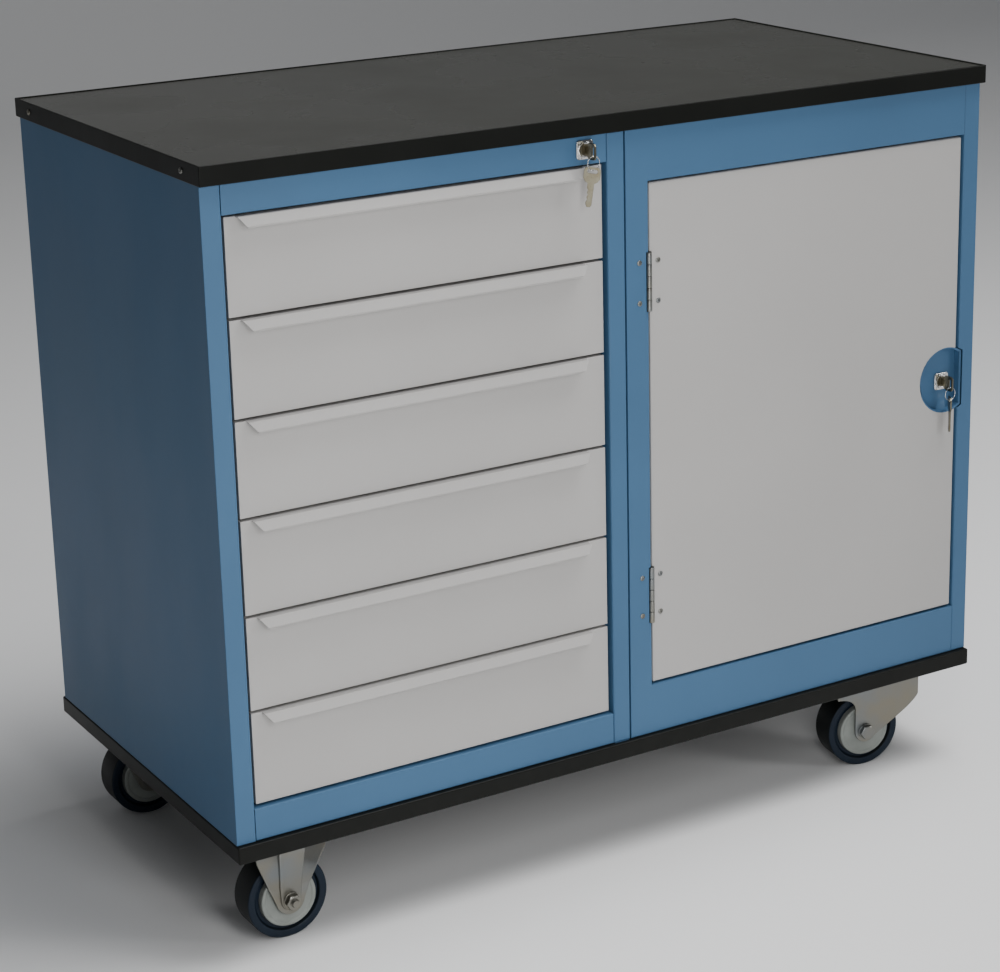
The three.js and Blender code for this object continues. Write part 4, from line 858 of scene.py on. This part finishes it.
def split_ring(node):
    centre = middle(node)
    path = bpy.data.curves.new(node + "_coil", "CURVE")
    path.dimensions = "3D"
    path.bevel_depth = RING_WIRE * MM
    path.bevel_resolution = 3
    path.use_fill_caps = True
    spline = path.splines.new("POLY")
    spline.points.add(RING_STEPS - 1)
    for step, point in enumerate(spline.points):
        share = step / (RING_STEPS - 1)
        angle = 2 * math.pi * RING_TURNS * share + 0.7
        rise = (share - 0.5) * 2 * RING_WIRE
        at = Vector((RING_RADIUS * math.cos(angle), rise, RING_RADIUS * math.sin(angle))) * MM
        point.co = (*(centre + at), 1.0)
    coil = bpy.data.objects.new(node + "_coil", path)
    bpy.context.collection.objects.link(coil)
    mesh = bpy.data.meshes.new_from_object(coil.evaluated_get(bpy.context.evaluated_depsgraph_get()))
    bpy.data.objects.remove(coil)
    wire = bmesh.new()
    wire.from_mesh(mesh)
    bmesh.ops.remove_doubles(wire, verts=wire.verts, dist=0.001 * MM)  # joins the end caps to the wire
    wire.to_mesh(mesh)
    wire.free()
    mesh.polygons.foreach_set("use_smooth", [True] * len(mesh.polygons))
    return add_piece(node + "_finished", mesh, "chrome", body_of[node], [node])


split_ring("drawer_key_ring")
split_ring("door_key_ring")
print("locks and keys")

# %% [markdown]
# ## The hinges
# Each hinge has two leaves behind the sheet and five knuckles on one pin. The knuckles are turned, so that
# they stay round however near one looks.

# %% Hinge leaves
KNUCKLE, PIN, LEAF_THICK, LEAF_WIDE, LEAF_HALF = 3.5, 1.7, 1.7, 20.0, 35.0
KNUCKLES = 5
RIVET_OUT, RIVET_UP = 13.5, 24.0  # from the pin's middle
UPRIGHT = Matrix.Rotation(math.pi / 2, 4, "X")  # turns the Y axis to the Z axis


def strip(x0, x1, z0, z1, thickness):
    x0, x1 = min(x0, x1), max(x0, x1)
    return plate([(x0, z0), (x1, z0), (x1, z1), (x0, z1)], thickness, 0.35, 2)


def hinge_leaf(node, side):
    low, high = (Vector(corner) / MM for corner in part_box(node))
    pin = Vector((high.x - KNUCKLE if side < 0 else low.x + KNUCKLE, low.y + KNUCKLE, (low.z + high.z) / 2))
    place = Matrix.Translation(pin * MM)
    back = high.y - pin.y if side > 0 else 2.9  # the leaf's back, behind the pin
    parts = [(strip(side * 3.9, side * LEAF_WIDE, -LEAF_HALF, LEAF_HALF, LEAF_THICK), along(place, back))]
    pitch = 2 * LEAF_HALF / KNUCKLES
    for index in range(0 if side < 0 else 1, KNUCKLES, 2):
        z0, z1 = -LEAF_HALF + index * pitch + 0.2, -LEAF_HALF + (index + 1) * pitch - 0.2
        tube = soften([(PIN + 0.2, z0), (KNUCKLE, z0, 0.4), (KNUCKLE, z1, 0.4), (PIN + 0.2, z1)])
        parts.append((lathe(tube, 40), place @ UPRIGHT))
        parts.append((strip(side * 2.6, side * 4.4, z0, z1, LEAF_THICK), along(place, back)))
    if side < 0:
        ends = [(0.0, -LEAF_HALF), (PIN, 0.5 - LEAF_HALF, 0.5), (PIN, LEAF_HALF - 0.5, 0.5), (0.0, LEAF_HALF)]
        parts.append((lathe(soften(ends), 32), place @ UPRIGHT))
    add_piece(node + "_finished", assemble(node + "_finished", *parts), "zinc", body_of[node], [node])
    return pin


hinge_pins = []
for level in ("upper_hinge", "lower_hinge"):
    hinge_pins.append(hinge_leaf(level + "_frame_leaf", -1))
    hinge_leaf(level + "_door_leaf", 1)
print("hinge pins at", [tuple(round(value) for value in pin) for pin in hinge_pins])

# %% [markdown]
# ## Fasteners
# Rivets, screws and bolts all repeat. Geometry Nodes puts one modelled head on every point and turns it to
# face the way the point says. The spin is random but seeded, so the heads never line up like copies.

# %% The node tree that sets fasteners
fasteners = bpy.data.node_groups.new("fasteners", "GeometryNodeTree")
fasteners.is_modifier = True
sockets = {}
for title, kind in (
    ("Geometry", "NodeSocketGeometry"),
    ("Head", "NodeSocketObject"),
    ("Spin", "NodeSocketFloat"),
    ("Seed", "NodeSocketInt"),
    ("Finish", "NodeSocketMaterial"),
):
    sockets[title] = fasteners.interface.new_socket(title, in_out="INPUT", socket_type=kind).identifier
fasteners.interface.new_socket("Geometry", in_out="OUTPUT", socket_type="NodeSocketGeometry")


def tree_node(kind, **links):
    node = fasteners.nodes.new(kind)
    for title, source in links.items():
        fasteners.links.new(source, node.inputs[title.replace("_", " ")])
    return node


given = fasteners.nodes.new("NodeGroupInput").outputs
facing_name = tree_node("GeometryNodeInputNamedAttribute")
facing_name.data_type = "FLOAT_VECTOR"
facing_name.inputs["Name"].default_value = "facing"
aligned = tree_node("FunctionNodeAlignRotationToVector", Vector=facing_name.outputs["Attribute"])
aligned.axis = "Z"
spin = tree_node("FunctionNodeRandomValue", Seed=given["Seed"])
spin.data_type = "FLOAT"
fasteners.links.new(given["Spin"], spin.inputs[3])
turn = tree_node("ShaderNodeCombineXYZ", Z=spin.outputs[1])
as_rotation = tree_node("FunctionNodeEulerToRotation", Euler=turn.outputs["Vector"])
turned = tree_node(
    "FunctionNodeRotateRotation",
    Rotation=aligned.outputs["Rotation"],
    Rotate_By=as_rotation.outputs["Rotation"],
)
turned.rotation_space = "LOCAL"
head_shape = tree_node("GeometryNodeObjectInfo", Object=given["Head"])
placed = tree_node(
    "GeometryNodeInstanceOnPoints",
    Points=given["Geometry"],
    Instance=head_shape.outputs["Geometry"],
    Rotation=turned.outputs["Rotation"],
)
real = tree_node("GeometryNodeRealizeInstances", Geometry=placed.outputs["Instances"])
coated = tree_node("GeometryNodeSetMaterial", Geometry=real.outputs["Geometry"], Material=given["Finish"])
tree_node("NodeGroupOutput", Geometry=coated.outputs["Geometry"])

# %% Setting a group of them
OUTWARD = Matrix.Rotation(-math.pi / 2, 4, "X")  # turns a head that faces -Y to face +Z


def set_fasteners(name, head, points, slot, body, seed):
    """`points` holds (place in metres, direction) pairs, and `head` is a mesh that faces +Z."""
    template = bpy.data.objects.new(name + "_head", head)
    cloud = bpy.data.meshes.new(name + "_points")
    cloud.from_pydata([tuple(place) for place, _ in points], [], [])
    facing = cloud.attributes.new("facing", "FLOAT_VECTOR", "POINT")
    facing.data.foreach_set("vector", [value for _, direction in points for value in direction])
    holder = bpy.data.objects.new(name + "_points", cloud)
    bpy.context.collection.objects.link(holder)
    modifier = holder.modifiers.new("fasteners", "NODES")
    modifier.node_group = fasteners
    modifier[sockets["Head"]] = template
    modifier[sockets["Spin"]] = 2 * math.pi
    modifier[sockets["Seed"]] = seed
    modifier[sockets["Finish"]] = finishes[slot]
    mesh = bpy.data.meshes.new_from_object(holder.evaluated_get(bpy.context.evaluated_depsgraph_get()))
    holder.modifiers.remove(modifier)
    bpy.data.objects.remove(holder)
    bpy.data.objects.remove(template)
    print(name, len(points), "heads,", len(mesh.polygons), "faces")
    return add_piece(name, mesh, slot, body)


# %% Blind rivets, edging screws and caster bolts
rivet_head = assemble("rivet_head", (
    lathe(soften([
        (0.0, 0.1), (3.3, 0.1), (3.3, -0.4, 0.3), (2.1, -1.25, 1.2),
        (1.15, -1.3, 0.25), (0.95, -0.45, 0.2), (0.0, -0.45),
    ]), 40), OUTWARD,
))
screw_head = assemble("screw_head", (
    lathe(soften([
        (0.0, 0.1), (3.6, 0.1), (3.6, -0.7, 0.5), (2.4, -1.7, 0.8),
        (1.3, -1.8, 0.2), (0.9, -0.7, 0.2), (0.0, -0.7),
    ]), 40), OUTWARD,
))
BOLT_WASHER_THICK = 1.5
BOLT_WASHER = [(4.2, 0.0), (8.2, 0.0, 0.3), (8.2, -BOLT_WASHER_THICK, 0.4), (4.2, -BOLT_WASHER_THICK)]
BOLT_FLAT, BOLT_HEIGHT = 6.5, 5.3
bolt_head = assemble(
    "bolt_head",
    (lathe(soften(BOLT_WASHER), 48), OUTWARD),
    (hex_head(BOLT_FLAT, BOLT_HEIGHT), along(OUTWARD, -BOLT_WASHER_THICK)),
)

FRONT, DOWN = (0.0, -1.0, 0.0), (0.0, 0.0, -1.0)
frame_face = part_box("door_frame")[0][1]
door_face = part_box("door_panel")[0][1]
for side, face, body in ((-1, frame_face, "root"), (1, door_face, "door")):
    spots = [
        (((pin.x + side * RIVET_OUT) * MM, face, (pin.z + end * RIVET_UP) * MM), FRONT)
        for pin in hinge_pins
        for end in (-1, 1)
    ]
    set_fasteners(body + "_hinge_rivets", rivet_head, spots, "zinc", body, 11 + side)
    rivet_head = rivet_head.copy()

SCREW_IN = 0.045  # from the worktop's corner
edging_low, edging_high = (Vector(corner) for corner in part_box("worktop_edging"))
screw_z = (edging_low.z + edging_high.z) / 2
set_fasteners("edging_screws", screw_head, [
    ((x, y, screw_z), (direction, 0.0, 0.0))
    for x, direction in ((edging_low.x, -1.0), (edging_high.x, 1.0))
    for y in (edging_low.y + SCREW_IN, edging_high.y - SCREW_IN)
], "zinc", "root", 5)

PLATE_DROP = 3.0 * MM
bolt_spots = []
for name in CASTERS:
    fixed = "left" in name
    low, high = (Vector(corner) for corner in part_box(name + ("_fork" if fixed else "_top_plate")))
    out_x, out_y = (0.040, 0.021) if fixed else (0.042, 0.032)
    centre_x, centre_y = (low.x + high.x) / 2, (low.y + high.y) / 2
    for x in (centre_x - out_x, centre_x + out_x):
        for y in (centre_y - out_y, centre_y + out_y):
            bolt_spots.append(((x, y, high.z - PLATE_DROP), DOWN))
set_fasteners("caster_bolts", bolt_head, bolt_spots, "zinc", "root", 8)

# %% Everything not yet replaced takes its finish
for node, thing in nodes.items():
    thing.data.materials.clear()
    thing.data.materials.append(finishes[slot_of[node]])
